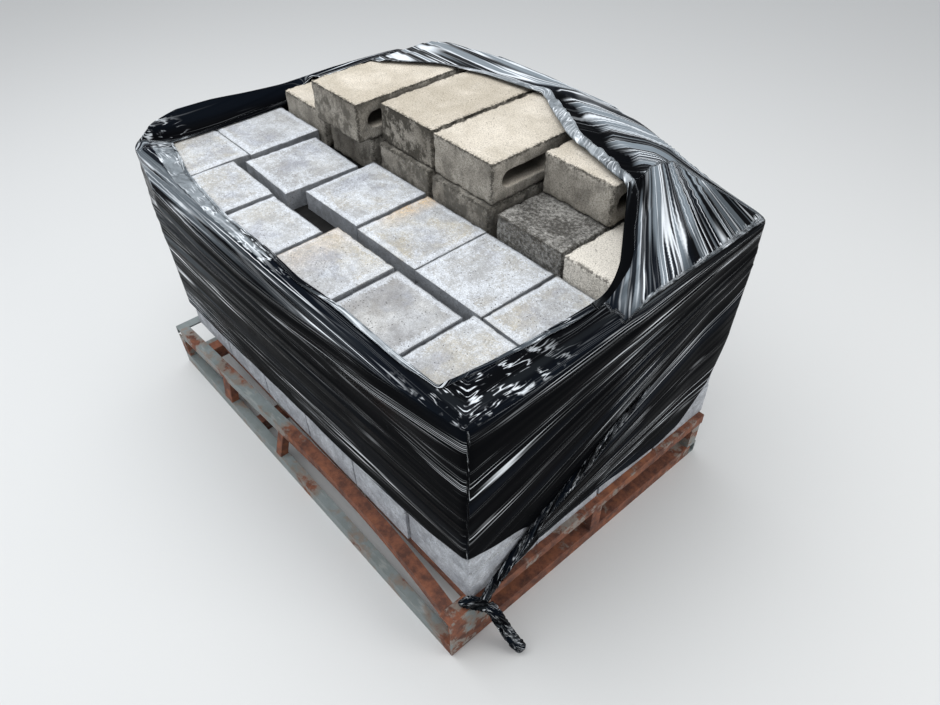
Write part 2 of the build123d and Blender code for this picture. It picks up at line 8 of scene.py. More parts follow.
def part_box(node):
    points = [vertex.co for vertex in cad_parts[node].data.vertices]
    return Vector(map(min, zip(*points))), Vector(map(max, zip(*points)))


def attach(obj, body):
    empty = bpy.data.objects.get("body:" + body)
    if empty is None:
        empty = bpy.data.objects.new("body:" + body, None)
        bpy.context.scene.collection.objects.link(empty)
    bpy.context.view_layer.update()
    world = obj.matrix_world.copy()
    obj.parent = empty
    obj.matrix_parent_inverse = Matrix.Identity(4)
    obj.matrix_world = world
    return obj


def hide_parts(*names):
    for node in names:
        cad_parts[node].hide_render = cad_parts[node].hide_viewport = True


bl_info = {
    "name": "Paver pallet",
    "version": (1, 0, 0),
    "blender": (4, 5, 0),
    "location": "View3D > Sidebar > Pallet",
    "description": "Dresses a loaded pallet of concrete pavers and hollow blocks in its stretch film",
    "category": "Object",
}

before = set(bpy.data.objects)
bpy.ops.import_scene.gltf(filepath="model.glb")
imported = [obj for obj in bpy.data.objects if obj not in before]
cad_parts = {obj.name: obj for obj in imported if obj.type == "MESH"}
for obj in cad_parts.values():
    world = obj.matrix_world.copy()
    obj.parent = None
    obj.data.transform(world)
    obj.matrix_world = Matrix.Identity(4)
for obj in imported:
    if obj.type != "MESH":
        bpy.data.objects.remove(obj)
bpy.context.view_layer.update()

MM = 0.001
BEYOND_X = 3.0  # past the pallet's end

# Centre x, centre y, turn in degrees of each loose paver, then how ochre, bloomed and dark it is
FRONT_ROW = [
    (-538.4, -275.5, 0.0, 0.55, 0.60, 0.20),
    (-336.7, -324.3, -1.2, 0.45, 0.75, 0.18),
    (-122.9, -330.5, 0.7, 0.35, 0.60, 0.14),
    (85.5, -293.0, 0.5, 0.80, 0.50, 0.25),
    (298.1, -292.4, 0.3, 0.18, 0.12, 1.0),
    (505.9, -270.0, 0.0, 0.50, 0.60, 0.22),
]
SECOND_ROW = [
    (-531.2, -74.5, 0.2, 0.25, 0.50, 0.28),
    (-308.1, -104.7, -1.9, 0.10, 0.70, 0.48),
    (-93.5, -64.5, 1.0, 0.45, 0.70, 0.32),
    (117.2, -66.4, 0.6, 0.75, 0.60, 0.30),
    (319.6, -65.9, 0.5, 0.25, 0.80, 0.22),
    (525.8, -65.0, -0.7, 0.65, 0.60, 0.22),
]

LAYER_COLUMNS, LAYER_LINES = 6, 4
CORNER_SHIFT = 6.0  # how far the lower pavers of the front right corner stand back

# The wrap, column by column round the load from the front right corner: the torn lower edge, the
# shoulder of the full layers, the rim, a point on top and the edge of the opening, then the size
# of the folded hem along that edge, how pale and slack the film is there and how pale the fold is;
# both paleness values set painted light: sky reflection and facet shading, and the fold's sheen
FRONT_WRAP = [
    ((619, -383, 310), (623, -382, 560), (622, -379, 691), (590, -368, 696), (513, -345, 694), 5, 0.37, 0.1),
    ((560, -384, 300), (560, -386, 560), (560, -389, 691), (545, -374, 695), (506, -348, 694), 5, 0.28, 0.3),
    ((400, -384, 268), (400, -388, 560), (400, -410, 690), (400, -388, 696), (405, -352, 694), 6, 0.12, 0.9),
    ((243, -384, 258), (243, -388, 560), (243, -420, 690), (243, -392, 699), (243, -350, 694), 7, 0.1, 0.9),
    ((100, -385, 252), (100, -390, 560), (100, -433, 690), (100, -398, 701), (101, -364, 694), 7, 0.1, 0.1),
    ((-20, -385, 249), (-20, -392, 560), (-20, -438, 690), (-20, -398, 702), (-20, -357, 694), 6, 0.55, 0.3),
    ((-215, -385, 237), (-215, -392, 560), (-215, -439, 690), (-215, -396, 701), (-215, -359, 694), 4, 0.95, 0.8),
    ((-437, -386, 223), (-437, -393, 560), (-440, -431, 691), (-440, -388, 701), (-439, -338, 694), 4, 1.0, 0.8),
    ((-560, -386, 219), (-560, -393, 560), (-566, -400, 694), (-560, -370, 706), (-545, -312, 695), 4, 0.74, 0.7),
]
LEFT_WRAP = [
    ((-617, -387, 217), (-630, -393, 540), (-643, -384, 702), (-632, -364, 714), (-611, -298, 695), 3, 0.52, 0.6),
    ((-616, -327, 214), (-629, -327, 560), (-643, -330, 738), (-636, -326, 748), (-610, -270, 694), 3, 0.34, 0.45),
    ((-613, -259, 210), (-624, -259, 560), (-643, -259, 756), (-637, -255, 765), (-608, -225, 694), 3, 0.1, 0.1),
    ((-613, -160, 204), (-623, -160, 560), (-642, -160, 753), (-636, -158, 762), (-607, -150, 694), 4, 0.0, 0.0),
    ((-613, -74, 196), (-622, -74, 560), (-641, -74, 745), (-635, -72, 752), (-608, -70, 694), 5, 0.0, 0.0),
    ((-613, 47, 190), (-621, 47, 560), (-641, 47, 735), (-634, 48, 742), (-611, 50, 694), 5, 0.0, 0.0),
    ((-613, 134, 196), (-620, 134, 560), (-638, 134, 736), (-628, 134, 745), (-604, 128, 746), 4, 0.0, 0.0),
    ((-613, 260, 205), (-618, 260, 560), (-630, 262, 742), (-612, 250, 748), (-590, 138, 748), 4, 0.05, 0.1),
    ((-613, 400, 226), (-614, 400, 560), (-620, 402, 742), (-604, 330, 750), (-570, 145, 748), 4, 0.1, 0.2),
]
BACK_WRAP = [
    ((-611, 448, 235), (-612, 448, 560), (-612, 446, 742), (-590, 360, 750), (-545, 148, 749), 4, 0.1, 0.2),
    ((-520, 449, 222), (-520, 449, 560), (-520, 449, 748), (-500, 360, 758), (-470, 160, 760), 4, 0.1, 0.2),
    ((-420, 449, 218), (-420, 449, 560), (-430, 449, 765), (-425, 378, 806), (-408, 176, 820), 4, 0.1, 0.3),
    ((-330, 449, 216), (-330, 449, 560), (-345, 446, 812), (-350, 402, 846), (-357, 196, 847), 4, 0.1, 0.4),
    ((-220, 449, 215), (-220, 449, 560), (-225, 446, 836), (-228, 418, 848), (-232, 300, 847), 4, 0.1, 0.5),
    ((-120, 449, 220), (-120, 449, 560), (-120, 450, 838), (-120, 430, 849), (-120, 334, 847), 6, 0.1, 0.7),
    ((10, 449, 228), (10, 449, 560), (10, 450, 839), (10, 434, 849), (10, 352, 848), 8, 0.1, 0.9),
    ((120, 449, 235), (120, 449, 560), (110, 450, 838), (106, 430, 849), (60, 358, 849), 10, 0.1, 0.9),
    ((220, 449, 242), (220, 449, 560), (215, 448, 834), (205, 420, 850), (150, 300, 852), 13, 0.1, 0.9),
    ((330, 449, 256), (330, 449, 560), (320, 448, 808), (325, 400, 850), (246, 244, 852), 14, 0.08, 0.85),
    ((440, 449, 300), (440, 449, 560), (420, 448, 782), (432, 362, 850), (337, 219, 852), 13, 0.05, 0.8),
    ((550, 451, 365), (550, 452, 560), (535, 448, 760), (436, 352, 848), (400, 199, 850), 12, 0.0, 0.75),
]
RIGHT_WRAP = [
    ((628, 452, 440), (634, 452, 600), (635, 448, 743), (450, 342, 843), (450, 190, 846), 12, 0.0, 0.7),
    ((626, 408, 275), (632, 392, 560), (636, 387, 744), (496, 290, 818), (466, 176, 838), 12, 0.0, 0.3),
    ((621, 330, 180), (626, 320, 560), (634, 300, 744), (536, 236, 792), (488, 150, 812), 12, 0.0, 0.0),
    ((621, 250, 164), (626, 220, 560), (634, 210, 745), (568, 170, 770), (514, 118, 784), 12, 0.0, 0.0),
    ((621, 140, 172), (625, 120, 560), (634, 110, 747), (590, 100, 757), (545, 80, 757), 12, 0.0, 0.0),
    ((621, 60, 180), (625, 60, 560), (634, 52, 744), (600, 48, 750), (566, 40, 748), 11, 0.0, 0.0),
    ((621, 27, 183), (625, 14, 560), (631, 12, 716), (600, 12, 724), (560, 24, 716), 10, 0.0, 0.0),
    ((621, -80, 180), (624, -80, 560), (630, -72, 703), (603, -74, 707), (543, -50, 695), 8, 0.1, 0.35),
    ((621, -180, 175), (624, -170, 560), (629, -160, 695), (603, -160, 701), (535, -157, 694), 6, 0.25, 0.75),
    ((621, -204, 262), (624, -206, 560), (628, -204, 693), (601, -204, 699), (531, -200, 694), 5, 0.3, 0.4),
    ((621, -246, 278), (624, -246, 560), (627, -246, 692), (600, -246, 698), (527, -246, 694), 5, 0.34, 0.2),
    ((620, -320, 290), (623, -320, 560), (625, -320, 692), (598, -320, 697), (518, -310, 694), 5, 0.37, 0.1),
]
PROFILE_ROWS = [74, 32, 14, 34]  # mesh rows between those five points
RIM_ROW = PROFILE_ROWS[0] + PROFILE_ROWS[1]
TOP_ROW = RIM_ROW + PROFILE_ROWS[2]
HEM_ROWS, HEM_BEND = 9, 0.003
WRAP_COLUMNS = 516
TORN_ROWS, TEAR_DEPTH = 3, 0.007  # how many rows the torn lower edge waves through, and how far
LIP_RISE = 0.013  # how far the wide hem's inner lip stands up
# The film that fans out below the rope: y, lower edge and upper edge
FAN = [(-344, 158, 161), (-310, 162, 171), (-272, 166, 195), (-225, 171, 230), (-172, 175, 272)]
FAN_COLUMNS, FAN_ROWS, FAN_X = 60, 16, 0.6265

# The sides and the top of the stack under the film
STACK_LEFT, STACK_RIGHT = -0.613, 0.62
STACK_FRONT, STACK_BACK = -0.383, 0.448
STACK_TOP = 0.691
# The torn edge at the front: its height at the left end, how far it rises, and over what length
FRONT_FOOT, FRONT_FOOT_RISE = 0.217, 0.095
FRONT_LENGTH = 1.23
# The right side, from the knot to its far end: how long it is, where its rope starts and how far
# that climbs, how far the rim is over the rope and how much of that is lost
RIGHT_LENGTH = 0.815
ROPE_LOW, ROPE_RISE = 0.165, 0.435
RIM_OVER_ROPE, RIM_SINK = 0.526, 0.384
PAVER_REACH = 102.0  # half a paver, with room for its turn
KNOT_POINT = (-380.0, 150.0)  # y and z where the pleats of the right side meet
TENT_POINT = Vector((0.435, 0.352, 0.842))
BACK_CORNER = Vector((0.632, 0.444, 0.739))
END_CLEARANCE = 0.008  # how much farther the film keeps from the end of the upper left block

ROPE_ROUTE = [
    (628, 139, 452), (628, 92, 424), (628, 27, 388), (628, -40, 342), (628, -107, 306),
    (628, -174, 271), (628, -225, 226), (629, -272, 192), (630, -310, 167), (641, -356, 154),
]
TAIL_ROUTE = [
    (652.2, -355.8, 153), (662, -352, 150), (680, -344, 118), (697, -334, 72), (710, -324, 32),
    (728, -311, 11.3),
]
KNOT_ROUTE = [(607, -395, 151), (615, -388, 154), (632, -373, 157), (646, -361, 154), (656, -352, 150)]
KNOT_RADIUS = 0.0128
TUBE_SPOKES = 24  # points round the rope, the knot and the tail


# Properties


def plain_value(name, description, default, **kind):
    return bpy.props.FloatProperty(name=name, description=description, default=default, **kind)


def length_value(name, description, default):
    return plain_value(name, description, default, unit="LENGTH")


def angle_value(name, description, degrees):
    return plain_value(name, description, math.radians(degrees), subtype="ANGLE")


def colour_value(name, description, default):
    return bpy.props.FloatVectorProperty(
        name=name, description=description, default=default, subtype="COLOR")


# Materials


class Finish:
    """A node material, built through short calls, with the tone laid on so far."""

    def __init__(self, name):
        self.material = bpy.data.materials.new(name)
        self.material.use_nodes = True
        self.tree = self.material.node_tree
        self.tree.nodes.clear()
        self.place = self.add("ShaderNodeTexCoord").outputs["Object"]
        self.tone = None

    def add(self, kind, inputs=None, **settings):
        made = self.tree.nodes.new(kind)
        for name, value in settings.items():
            setattr(made, name, value)
        for key, value in (inputs or {}).items():
            if isinstance(value, bpy.types.NodeSocket):
                self.tree.links.new(value, made.inputs[key])
            else:
                made.inputs[key].default_value = value
        return made

    def stretched(self, scale, place=None):
        """The place, stretched by a scale for each axis."""
        return self.add("ShaderNodeMapping", {"Vector": place or self.place, "Scale": scale}).outputs[0]

    def noise(self, scale, detail=4.0, rough=0.55, place=None):
        inputs = {"Vector": place or self.place, "Scale": scale, "Detail": detail, "Roughness": rough}
        return self.add("ShaderNodeTexNoise", inputs).outputs[0]

    def cells(self, scale, place=None):
        inputs = {"Vector": place or self.place, "Scale": scale}
        return self.add("ShaderNodeTexVoronoi", inputs).outputs["Distance"]

    def step(self, value, low, high, to_low=0.0, to_high=1.0):
        """A smooth step between two levels."""
        inputs = {0: value, 1: low, 2: high, 3: to_low, 4: to_high}
        return self.add("ShaderNodeMapRange", inputs, interpolation_type="SMOOTHSTEP").outputs[0]

    def patches(self, scale, detail, low, high, rough=0.55):
        """Soft-edged patches: noise, stepped between two levels."""
        return self.step(self.noise(scale, detail, rough), low, high)

    def math(self, kind, first, second=0.0):
        return self.add("ShaderNodeMath", {0: first, 1: second}, operation=kind).outputs[0]

    def times(self, first, second):
        return self.math("MULTIPLY", first, second)

    def plus(self, first, second):
        return self.math("ADD", first, second)

    def minus(self, first, second):
        return self.math("SUBTRACT", first, second)

    def most(self, first, second):
        return self.math("MAXIMUM", first, second)

    def rest(self, share):
        """What a share leaves of the whole."""
        return self.minus(1.0, share)

    def off_middle(self, value):
        """How far a value is from a half, either way."""
        return self.math("ABSOLUTE", self.minus(value, 0.5))

    def facing_up(self):
        """The upward part of the surface normal."""
        normal = self.add("ShaderNodeNewGeometry").outputs["Normal"]
        return self.add("ShaderNodeSeparateXYZ", {0: normal}).outputs[2]

    def mix(self, share, first, second):
        """The first colour, covered by a share of the second."""
        values = {0: share}
        for key, colour in ((6, first), (7, second)):
            values[key] = colour if isinstance(colour, bpy.types.NodeSocket) else (*colour, 1.0)
        return self.add("ShaderNodeMix", values, data_type="RGBA").outputs[2]

    def lay(self, colour, share, amount=1.0):
        """Lay a colour over the tone, by a share and at most by an amount."""
        if amount < 1.0:
            share = self.times(share, amount)
        self.tone = self.mix(share, self.tone, colour)

    def attribute(self, name):
        """The three channels of a colour kept on the mesh."""
        colour = self.add("ShaderNodeAttribute", attribute_name=name).outputs["Color"]
        return self.add("ShaderNodeSeparateColor", {"Color": colour}).outputs[:3]

    def cell_tone(self, scale, place):
        """One tone for each cell of a cell pattern."""
        colour = self.add("ShaderNodeTexVoronoi", {"Vector": place, "Scale": scale}).outputs["Color"]
        return self.add("ShaderNodeSeparateColor", {"Color": colour}).outputs[0]

    def warped(self, place, scale, amount):
        """The place, shifted to and fro by noise."""
        inputs = {"Vector": place, "Scale": scale, "Detail": 2.0}
        shift = self.add("ShaderNodeTexNoise", inputs).outputs["Color"]
        inputs = {0: shift, 1: (amount, amount, amount), 2: place}
        return self.add("ShaderNodeVectorMath", inputs, operation="MULTIPLY_ADD").outputs[0]

    def done(self, rough, height, depth, specular=0.5):
        """The finished material, with the tone laid on it and a height as its bumps."""
        bump = self.add("ShaderNodeBump", {"Height": height, "Distance": depth, "Strength": 1.0})
        inputs = {
            "Base Color": self.tone, "Roughness": rough, "Normal": bump.outputs[0],
            "Specular IOR Level": specular,
        }
        shader = self.add("ShaderNodeBsdfPrincipled", inputs)
        out = self.add("ShaderNodeOutputMaterial")
        self.tree.links.new(shader.outputs[0], out.inputs["Surface"])
        return self.material


# Tones that the settings don't change
DARK_CEMENT, BLUE_CEMENT, OCHRE = (0.235, 0.225, 0.225), (0.36, 0.38, 0.45), (0.74, 0.52, 0.28)
GREY_SPOT, GREY_SPECK, GREY_PIT_SHADE = (0.20, 0.195, 0.19), (0.16, 0.155, 0.15), (0.09, 0.085, 0.08)
CORE_SHADE, CORE_COLOUR = (0.006, 0.0059, 0.0058), (0.022, 0.0216, 0.021)
PALE_SAND, BLEACHED, LIME_AND_LIGHT = (0.76, 0.71, 0.63), (0.40, 0.395, 0.38), (0.80, 0.755, 0.68)
WALL_SHADE, WALL_COLOUR, SOOT = (0.19, 0.172, 0.145), (0.42, 0.39, 0.34), (0.036, 0.0345, 0.0325)
SAND_SPECK, SAND_PIT_SHADE, DEEP_SHADE = (0.11, 0.095, 0.07), (0.05, 0.045, 0.035), (0.03, 0.027, 0.022)
FRESH_RUST, RUST_HALO = (0.31, 0.115, 0.05), (0.23, 0.13, 0.075)
PAINT_SHADE, SCUFFED = (0.17, 0.195, 0.19), (0.38, 0.395, 0.375)


def paver_concrete(settings, name, side_shade, side_colour):
    """Cast grey concrete: bloom round the rim, ochre stains, pits and a sandy skin."""
    look = Finish(name)
    ochre, bloom, dark = look.attribute("paver_tone")
    rim, mark, side = look.attribute("paver_rim")
    patch = look.noise(11.0, 8.0, 0.62)
    grain = look.noise(420.0, 3.0, 0.6)
    sandy = look.times(look.minus(look.noise(230.0, 3.0, 0.6), 0.5), 0.85)
    look.tone = look.mix(look.patches(7.0, 5.0, 0.35, 0.68, 0.6), settings.shade, settings.colour)
    look.lay(DARK_CEMENT, look.times(dark, look.step(patch, 0.36, 0.62)), 0.75)
    look.lay(settings.stain, look.times(ochre, look.patches(7.5, 6.0, 0.45, 0.6, 0.62)), 0.75)
    inner = look.step(rim, 0.0, 0.5, 1.0, 0.0)
    look.lay(BLUE_CEMENT, look.times(look.patches(9.0, 5.0, 0.5, 0.64, 0.6), inner), 0.55)
    bloomed = look.step(look.plus(look.noise(14.0, 9.0, 0.68), sandy), 0.44, 0.6)
    look.lay(settings.bloom, look.times(bloom, bloomed), 0.8)
    edge = look.plus(rim, look.times(look.minus(patch, 0.5), 0.9))
    edge = look.step(look.plus(edge, look.times(sandy, 1.2)), 0.42, 0.66)
    look.lay(settings.bloom, look.times(edge, look.step(rim, 0.86, 1.0, 1.0, 0.25)), 0.62)
    worn = look.step(look.plus(patch, sandy), 0.3, 0.6, 0.25, 1.0)
    look.lay(OCHRE, look.times(look.most(mark, 0.0), worn))
    look.lay(settings.bloom, look.times(look.most(look.times(mark, -1.0), 0.0), worn))
    # The sides get their own tones, darker and bluer than the top: painted shade.
    look.lay(look.mix(look.patches(28.0, 6.0, 0.35, 0.7, 0.65), side_shade, side_colour), side, 0.85)
    look.lay(GREY_SPOT, look.rest(look.patches(85.0, 8.0, 0.36, 0.62, 0.72)), 0.34)
    look.lay(GREY_SPECK, look.rest(look.step(grain, 0.35, 0.6)), 0.42)
    # Pits painted dark: painted shade inside them.
    pits = look.rest(look.step(look.cells(130.0), 0.1, 0.2))
    pits = look.times(pits, look.patches(35.0, 3.0, 0.42, 0.56))
    look.lay(GREY_PIT_SHADE, pits, 0.8)
    return look.done(0.93, look.minus(look.times(grain, 0.5), pits), 0.0011, 0.25)


def shaded_concrete():
    """The inner pavers, dark in the shade between the others."""
    look = Finish("shaded_core")
    look.tone = look.mix(look.noise(40.0, 6.0), CORE_SHADE, CORE_COLOUR)
    return look.done(0.95, look.noise(300.0), 0.001, 0.08)


def block_concrete(settings):
    """Sandy tan concrete, mould-stained on its sides; its tops painted paler as light and its sides darker as
    shade, with painted shade in the cores and on the covered ledges.
    """
    look = Finish("sandy_blocks")
    stain, dark, light = look.attribute("block_tone")
    arris, inside, ledge = look.attribute("block_arris_and_shade")
    cloud = look.noise(9.0, 6.0, 0.62)
    grain = look.noise(330.0, 4.0, 0.66)
    # The walls' darker tone is painted shade.
    look.tone = look.mix(look.step(cloud, 0.32, 0.66), WALL_SHADE, WALL_COLOUR)
    runs = look.noise(1.0, 7.0, 0.7, look.stretched((30.0, 30.0, 22.0)))
    runs = look.step(look.plus(runs, look.times(arris, 0.1)), 0.46, 0.6)
    look.lay(settings.mould, look.times(stain, runs), 0.85)
    tan = look.mix(look.step(cloud, 0.36, 0.66), settings.shade, settings.colour)
    tan = look.mix(look.times(look.patches(24.0, 7.0, 0.5, 0.72, 0.68), 0.3), tan, PALE_SAND)
    # Faces that point up get the paler tan as painted light; the covered blocks' ledges keep the walls' darker
    # tone as painted shade.
    top = look.times(look.step(look.facing_up(), 0.45, 0.85), look.rest(ledge))
    look.lay(tan, top)
    look.lay(BLEACHED, dark, 0.85)
    soot = look.plus(look.times(look.noise(120.0, 8.0, 0.82), 0.7), look.times(cloud, 0.3))
    look.lay(SOOT, look.times(dark, look.step(soot, 0.385, 0.575)), 0.94)
    # Pale lime, and on hollow_block_lower_6 painted light.
    look.lay(LIME_AND_LIGHT, light, 0.85)
    specks = look.rest(look.step(grain, 0.42, 0.54))
    look.lay(SAND_SPECK, look.times(specks, look.step(top, 0.0, 1.0, 0.5, 0.34)))
    grime = look.plus(look.noise(150.0, 6.0, 0.75), look.times(arris, 0.2))
    grime = look.times(look.step(grime, 0.56, 0.66), look.step(arris, 0.12, 0.5))
    look.lay(settings.mould, grime, 0.75)
    # Painted shade inside the cores.
    look.lay(DEEP_SHADE, inside, 0.85)
    # Holes painted dark: painted shade inside them.
    holes = look.rest(look.step(look.cells(170.0), 0.1, 0.24))
    holes = look.times(holes, look.patches(60.0, 3.0, 0.42, 0.6))
    look.lay(SAND_PIT_SHADE, holes, 0.75)
    return look.done(0.95, look.minus(grain, look.times(holes, 0.9)), 0.0016, 0.2)


def worn_steel(name, settings, rust_level, turn_x=BEYOND_X, scale=9.0):
    """Pale paint that rust breaks through, more of it past turn_x."""
    look = Finish(name)
    along = look.add("ShaderNodeSeparateXYZ", {0: look.place}).outputs[0]
    lean = look.step(along, turn_x - 0.25, turn_x + 0.35, 0.0, 0.34)
    broken = look.plus(look.plus(look.noise(scale, 8.0, 0.68), lean), rust_level - 0.5)
    rusted = look.step(broken, 0.5, 0.56)
    rust = look.mix(look.patches(40.0, 7.0, 0.35, 0.66, 0.7), settings.dark_rust, settings.rust)
    rust = look.mix(look.times(look.patches(17.0, 5.0, 0.52, 0.68, 0.6), 0.6), rust, FRESH_RUST)
    look.tone = look.mix(look.patches(13.0, 6.0, 0.34, 0.7, 0.65), PAINT_SHADE, settings.paint)
    scuffs = look.noise(1.0, 6.0, 0.6, look.stretched((14.0, 60.0, 90.0)))
    look.lay(SCUFFED, look.step(scuffs, 0.56, 0.68), 0.5)
    look.lay(RUST_HALO, look.step(broken, 0.42, 0.5), 0.5)
    look.lay(rust, rusted)
    pitted = look.times(look.noise(260.0, 5.0, 0.7), rusted)
    height = look.plus(look.times(pitted, 0.8), look.times(rusted, -0.5))
    return look.done(look.step(rusted, 0.0, 1.0, 0.5, 0.88), height, 0.0009)


def wrap_film(settings):
    """Black stretch film: painted highlight streaks along its pleats, painted sky sheen on top, and paler crinkled
    facets of painted light and shade where it is slack.
    """
    look = Finish("creased_film")
    slack, sheen, density = look.attribute("film_slack_and_sheen")
    pleat = look.add("ShaderNodeUVMap", uv_map="pleats").outputs[0]

    def along(run, across, detail=0.0):
        return look.noise(1.0, detail, 0.55, look.stretched((run, across, 1.0), pleat))

    def thin_lines(run, across, width):
        return look.rest(look.step(look.off_middle(along(run, across)), 0.0, width))

    # Tight film: nearly black, with soft bluish bands of painted sheen and clumps of thin painted highlight
    # streaks
    dense = look.times(density, 0.2)
    clumps = look.step(look.plus(along(1.1, 20.0), dense), 0.59, 0.68)
    broken = look.step(along(5.0, 60.0), 0.4, 0.62, 0.15, 1.0)
    streak_highlights = look.times(look.times(thin_lines(1.8, 84.0, 0.064), clumps), broken)
    hair_area = look.step(look.plus(along(2.0, 34.0), dense), 0.6, 0.7)
    hair_highlights = look.times(thin_lines(3.0, 170.0, 0.045), hair_area)
    # Broad bluish bands: painted sheen.
    satin_sheen = look.step(look.plus(along(0.9, 13.0), dense), 0.54, 0.78)
    look.tone = look.mix(satin_sheen, settings.colour, settings.satin_sheen_colour)

    # Film drawn over the top: painted silvery reflection of the sky between narrow dark grooves
    up = look.facing_up()
    # Broad bands of the sky's tone, mostly on the walls: painted sheen.
    gloss_sheen = look.step(look.plus(along(1.0, 30.0), look.times(dense, 1.4)), 0.76, 0.9)
    look.lay(settings.sheen_colour, look.times(gloss_sheen, look.step(up, 0.1, 0.6, 0.27, 0.04)))
    level = look.step(up, 0.1, 0.8)
    facing = look.times(level, sheen)
    silk_sheen = look.plus(along(1.3, 46.0), look.times(along(1.8, 100.0), 0.8))
    silk_sheen = look.step(look.minus(silk_sheen, look.step(density, 0.95, 1.2, 0.0, 0.08)), 0.88, 1.0)
    look.lay(settings.sheen_colour, look.times(facing, silk_sheen))
    glints = look.times(thin_lines(1.6, 90.0, 0.06), look.step(along(3.0, 30.0), 0.47, 0.56))

    # Slack film: paler as painted reflection of the sky, in soft facets of painted shading, with painted strokes
    # of light where it is half drawn
    foil = look.warped(look.place, 14.0, 0.03)
    facet_shading = look.times(look.cell_tone(34.0, foil), 0.6)
    facet_shading = look.plus(facet_shading, look.times(look.cell_tone(90.0, foil), 0.4))
    torn = look.times(look.minus(along(8.0, 44.0, 2.0), 0.5), 0.9)
    shown = look.step(look.plus(torn, slack), 0.5, 0.64)
    look.lay(look.mix(facet_shading, settings.slack_shade, settings.slack_sheen_colour), shown)
    bent = look.stretched((16.0, 105.0, 1.0), look.warped(pleat, 24.0, 0.005))
    strokes = look.rest(look.step(look.off_middle(look.noise(1.0, 1.0, 0.5, bent)), 0.0, 0.05))
    strokes = look.times(strokes, look.patches(26.0, 3.0, 0.46, 0.58))
    strokes = look.times(strokes, look.step(slack, 0.12, 0.36, 0.0, 0.9))

    # Painted highlights: streaks, fine hairs, glints and strokes.
    bright = look.most(streak_highlights, look.times(hair_highlights, 0.12))
    bright = look.most(look.most(bright, look.times(glints, facing)), strokes)
    look.lay(settings.streak_highlight_colour, bright, 0.9)
    tight = look.plus(look.times(along(1.2, 30.0), 4.0), look.times(along(1.8, 90.0), 1.6))
    tight = look.times(tight, look.step(look.plus(along(0.8, 7.0), dense), 0.46, 0.66, 0.15, 1.0))
    loose = look.plus(look.times(look.cells(34.0, foil), 3.0), look.noise(60.0, 4.0))
    height = look.add("ShaderNodeMix", {0: slack, 2: tight, 3: loose}).outputs[0]
    rough = look.step(look.noise(26.0, 5.0, 0.6), 0.3, 0.7, 0.16, 0.28)
    rough = look.plus(rough, look.times(slack, 0.12))
    silvery = look.times(sheen, look.step(silk_sheen, 0.0, 1.0, 0.15, 1.0))
    sky = look.times(level, look.most(silvery, look.times(shown, 0.8)))
    lit = look.plus(look.times(sky, settings.sky_shine), look.times(bright, 0.5))
    return look.done(rough, height, settings.crease, look.plus(settings.shine, lit))


# Shared shaping


def between(value, low, high):
    """How far a value has come from low to high, kept within 0 and 1."""
    return min(1.0, max(0.0, (value - low) / (high - low)))


def ridge(value):
    """A sharp-backed fold from smooth noise."""
    return 1.0 - min(1.0, abs(value) * 2.4)


def ripple(x, y, z):
    """Smooth noise at a place."""
    return noise.noise(Vector((x, y, z)))


def select_only(*pieces):
    """Select just these pieces, the first one active."""
    bpy.ops.object.select_all(action="DESELECT")
    for piece in reversed(pieces):
        piece.select_set(True)
        bpy.context.view_layer.objects.active = piece


def finish_piece(piece, name, slot, material, *nodes):
    """Name a finished piece, let it ride with the load and stand for its CAD nodes."""
    piece.name = name
    piece.data.name = name
    piece.data.materials.clear()
    piece.data.materials.append(material)
    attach(piece, "root")
    if nodes:
        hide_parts(*nodes)


def mesh_piece(name, points, faces):
    """A new object from its points and faces."""
    mesh = bpy.data.meshes.new(name)
    mesh.from_pydata(points, [], faces)
    piece = bpy.data.objects.new(name, mesh)
    bpy.context.scene.collection.objects.link(piece)
    return piece


def grid_faces(columns, rows, closed):
    """Faces between the columns of a grid of points, round to the first column where it is closed."""
    faces = []
    for column in range(columns if closed else columns - 1):
        here, after = column * rows, (column + 1) % columns * rows
        for row in range(rows - 1):
            faces.append((here + row, after + row, after + row + 1, here + row + 1))
    return faces


def keep_colour(mesh, name, colours):
    """Keep one colour for each vertex under a name that a material reads."""
    layer = mesh.color_attributes.new(name, "FLOAT_COLOR", "POINT")
    layer.data.foreach_set("color", [value for colour in colours for value in (*colour, 1.0)])


def smooth_faces(piece):
    piece.data.polygons.foreach_set("use_smooth", [True] * len(piece.data.polygons))


def shade_smooth(piece, angle):
    select_only(piece)
    bpy.ops.object.shade_smooth_by_angle(angle=math.radians(angle))


def joined(pieces):
    """Join pieces into the first one."""
    select_only(*pieces)
    bpy.ops.object.join()
    return pieces[0]


# Pavers

EDGE_CROWDING = 1.35  # how much the mesh lines of a paver crowd towards its edges
ARRIS_WIDTH, CORNER_WIDTH, CHIP_DEPTH = 0.012, 0.02, 0.009
RIM_WIDTH = 0.034  # how far the bloom along the edges reaches in
TOP_CUTS, LOWER_CUTS = 23, 11  # how finely a paver is divided


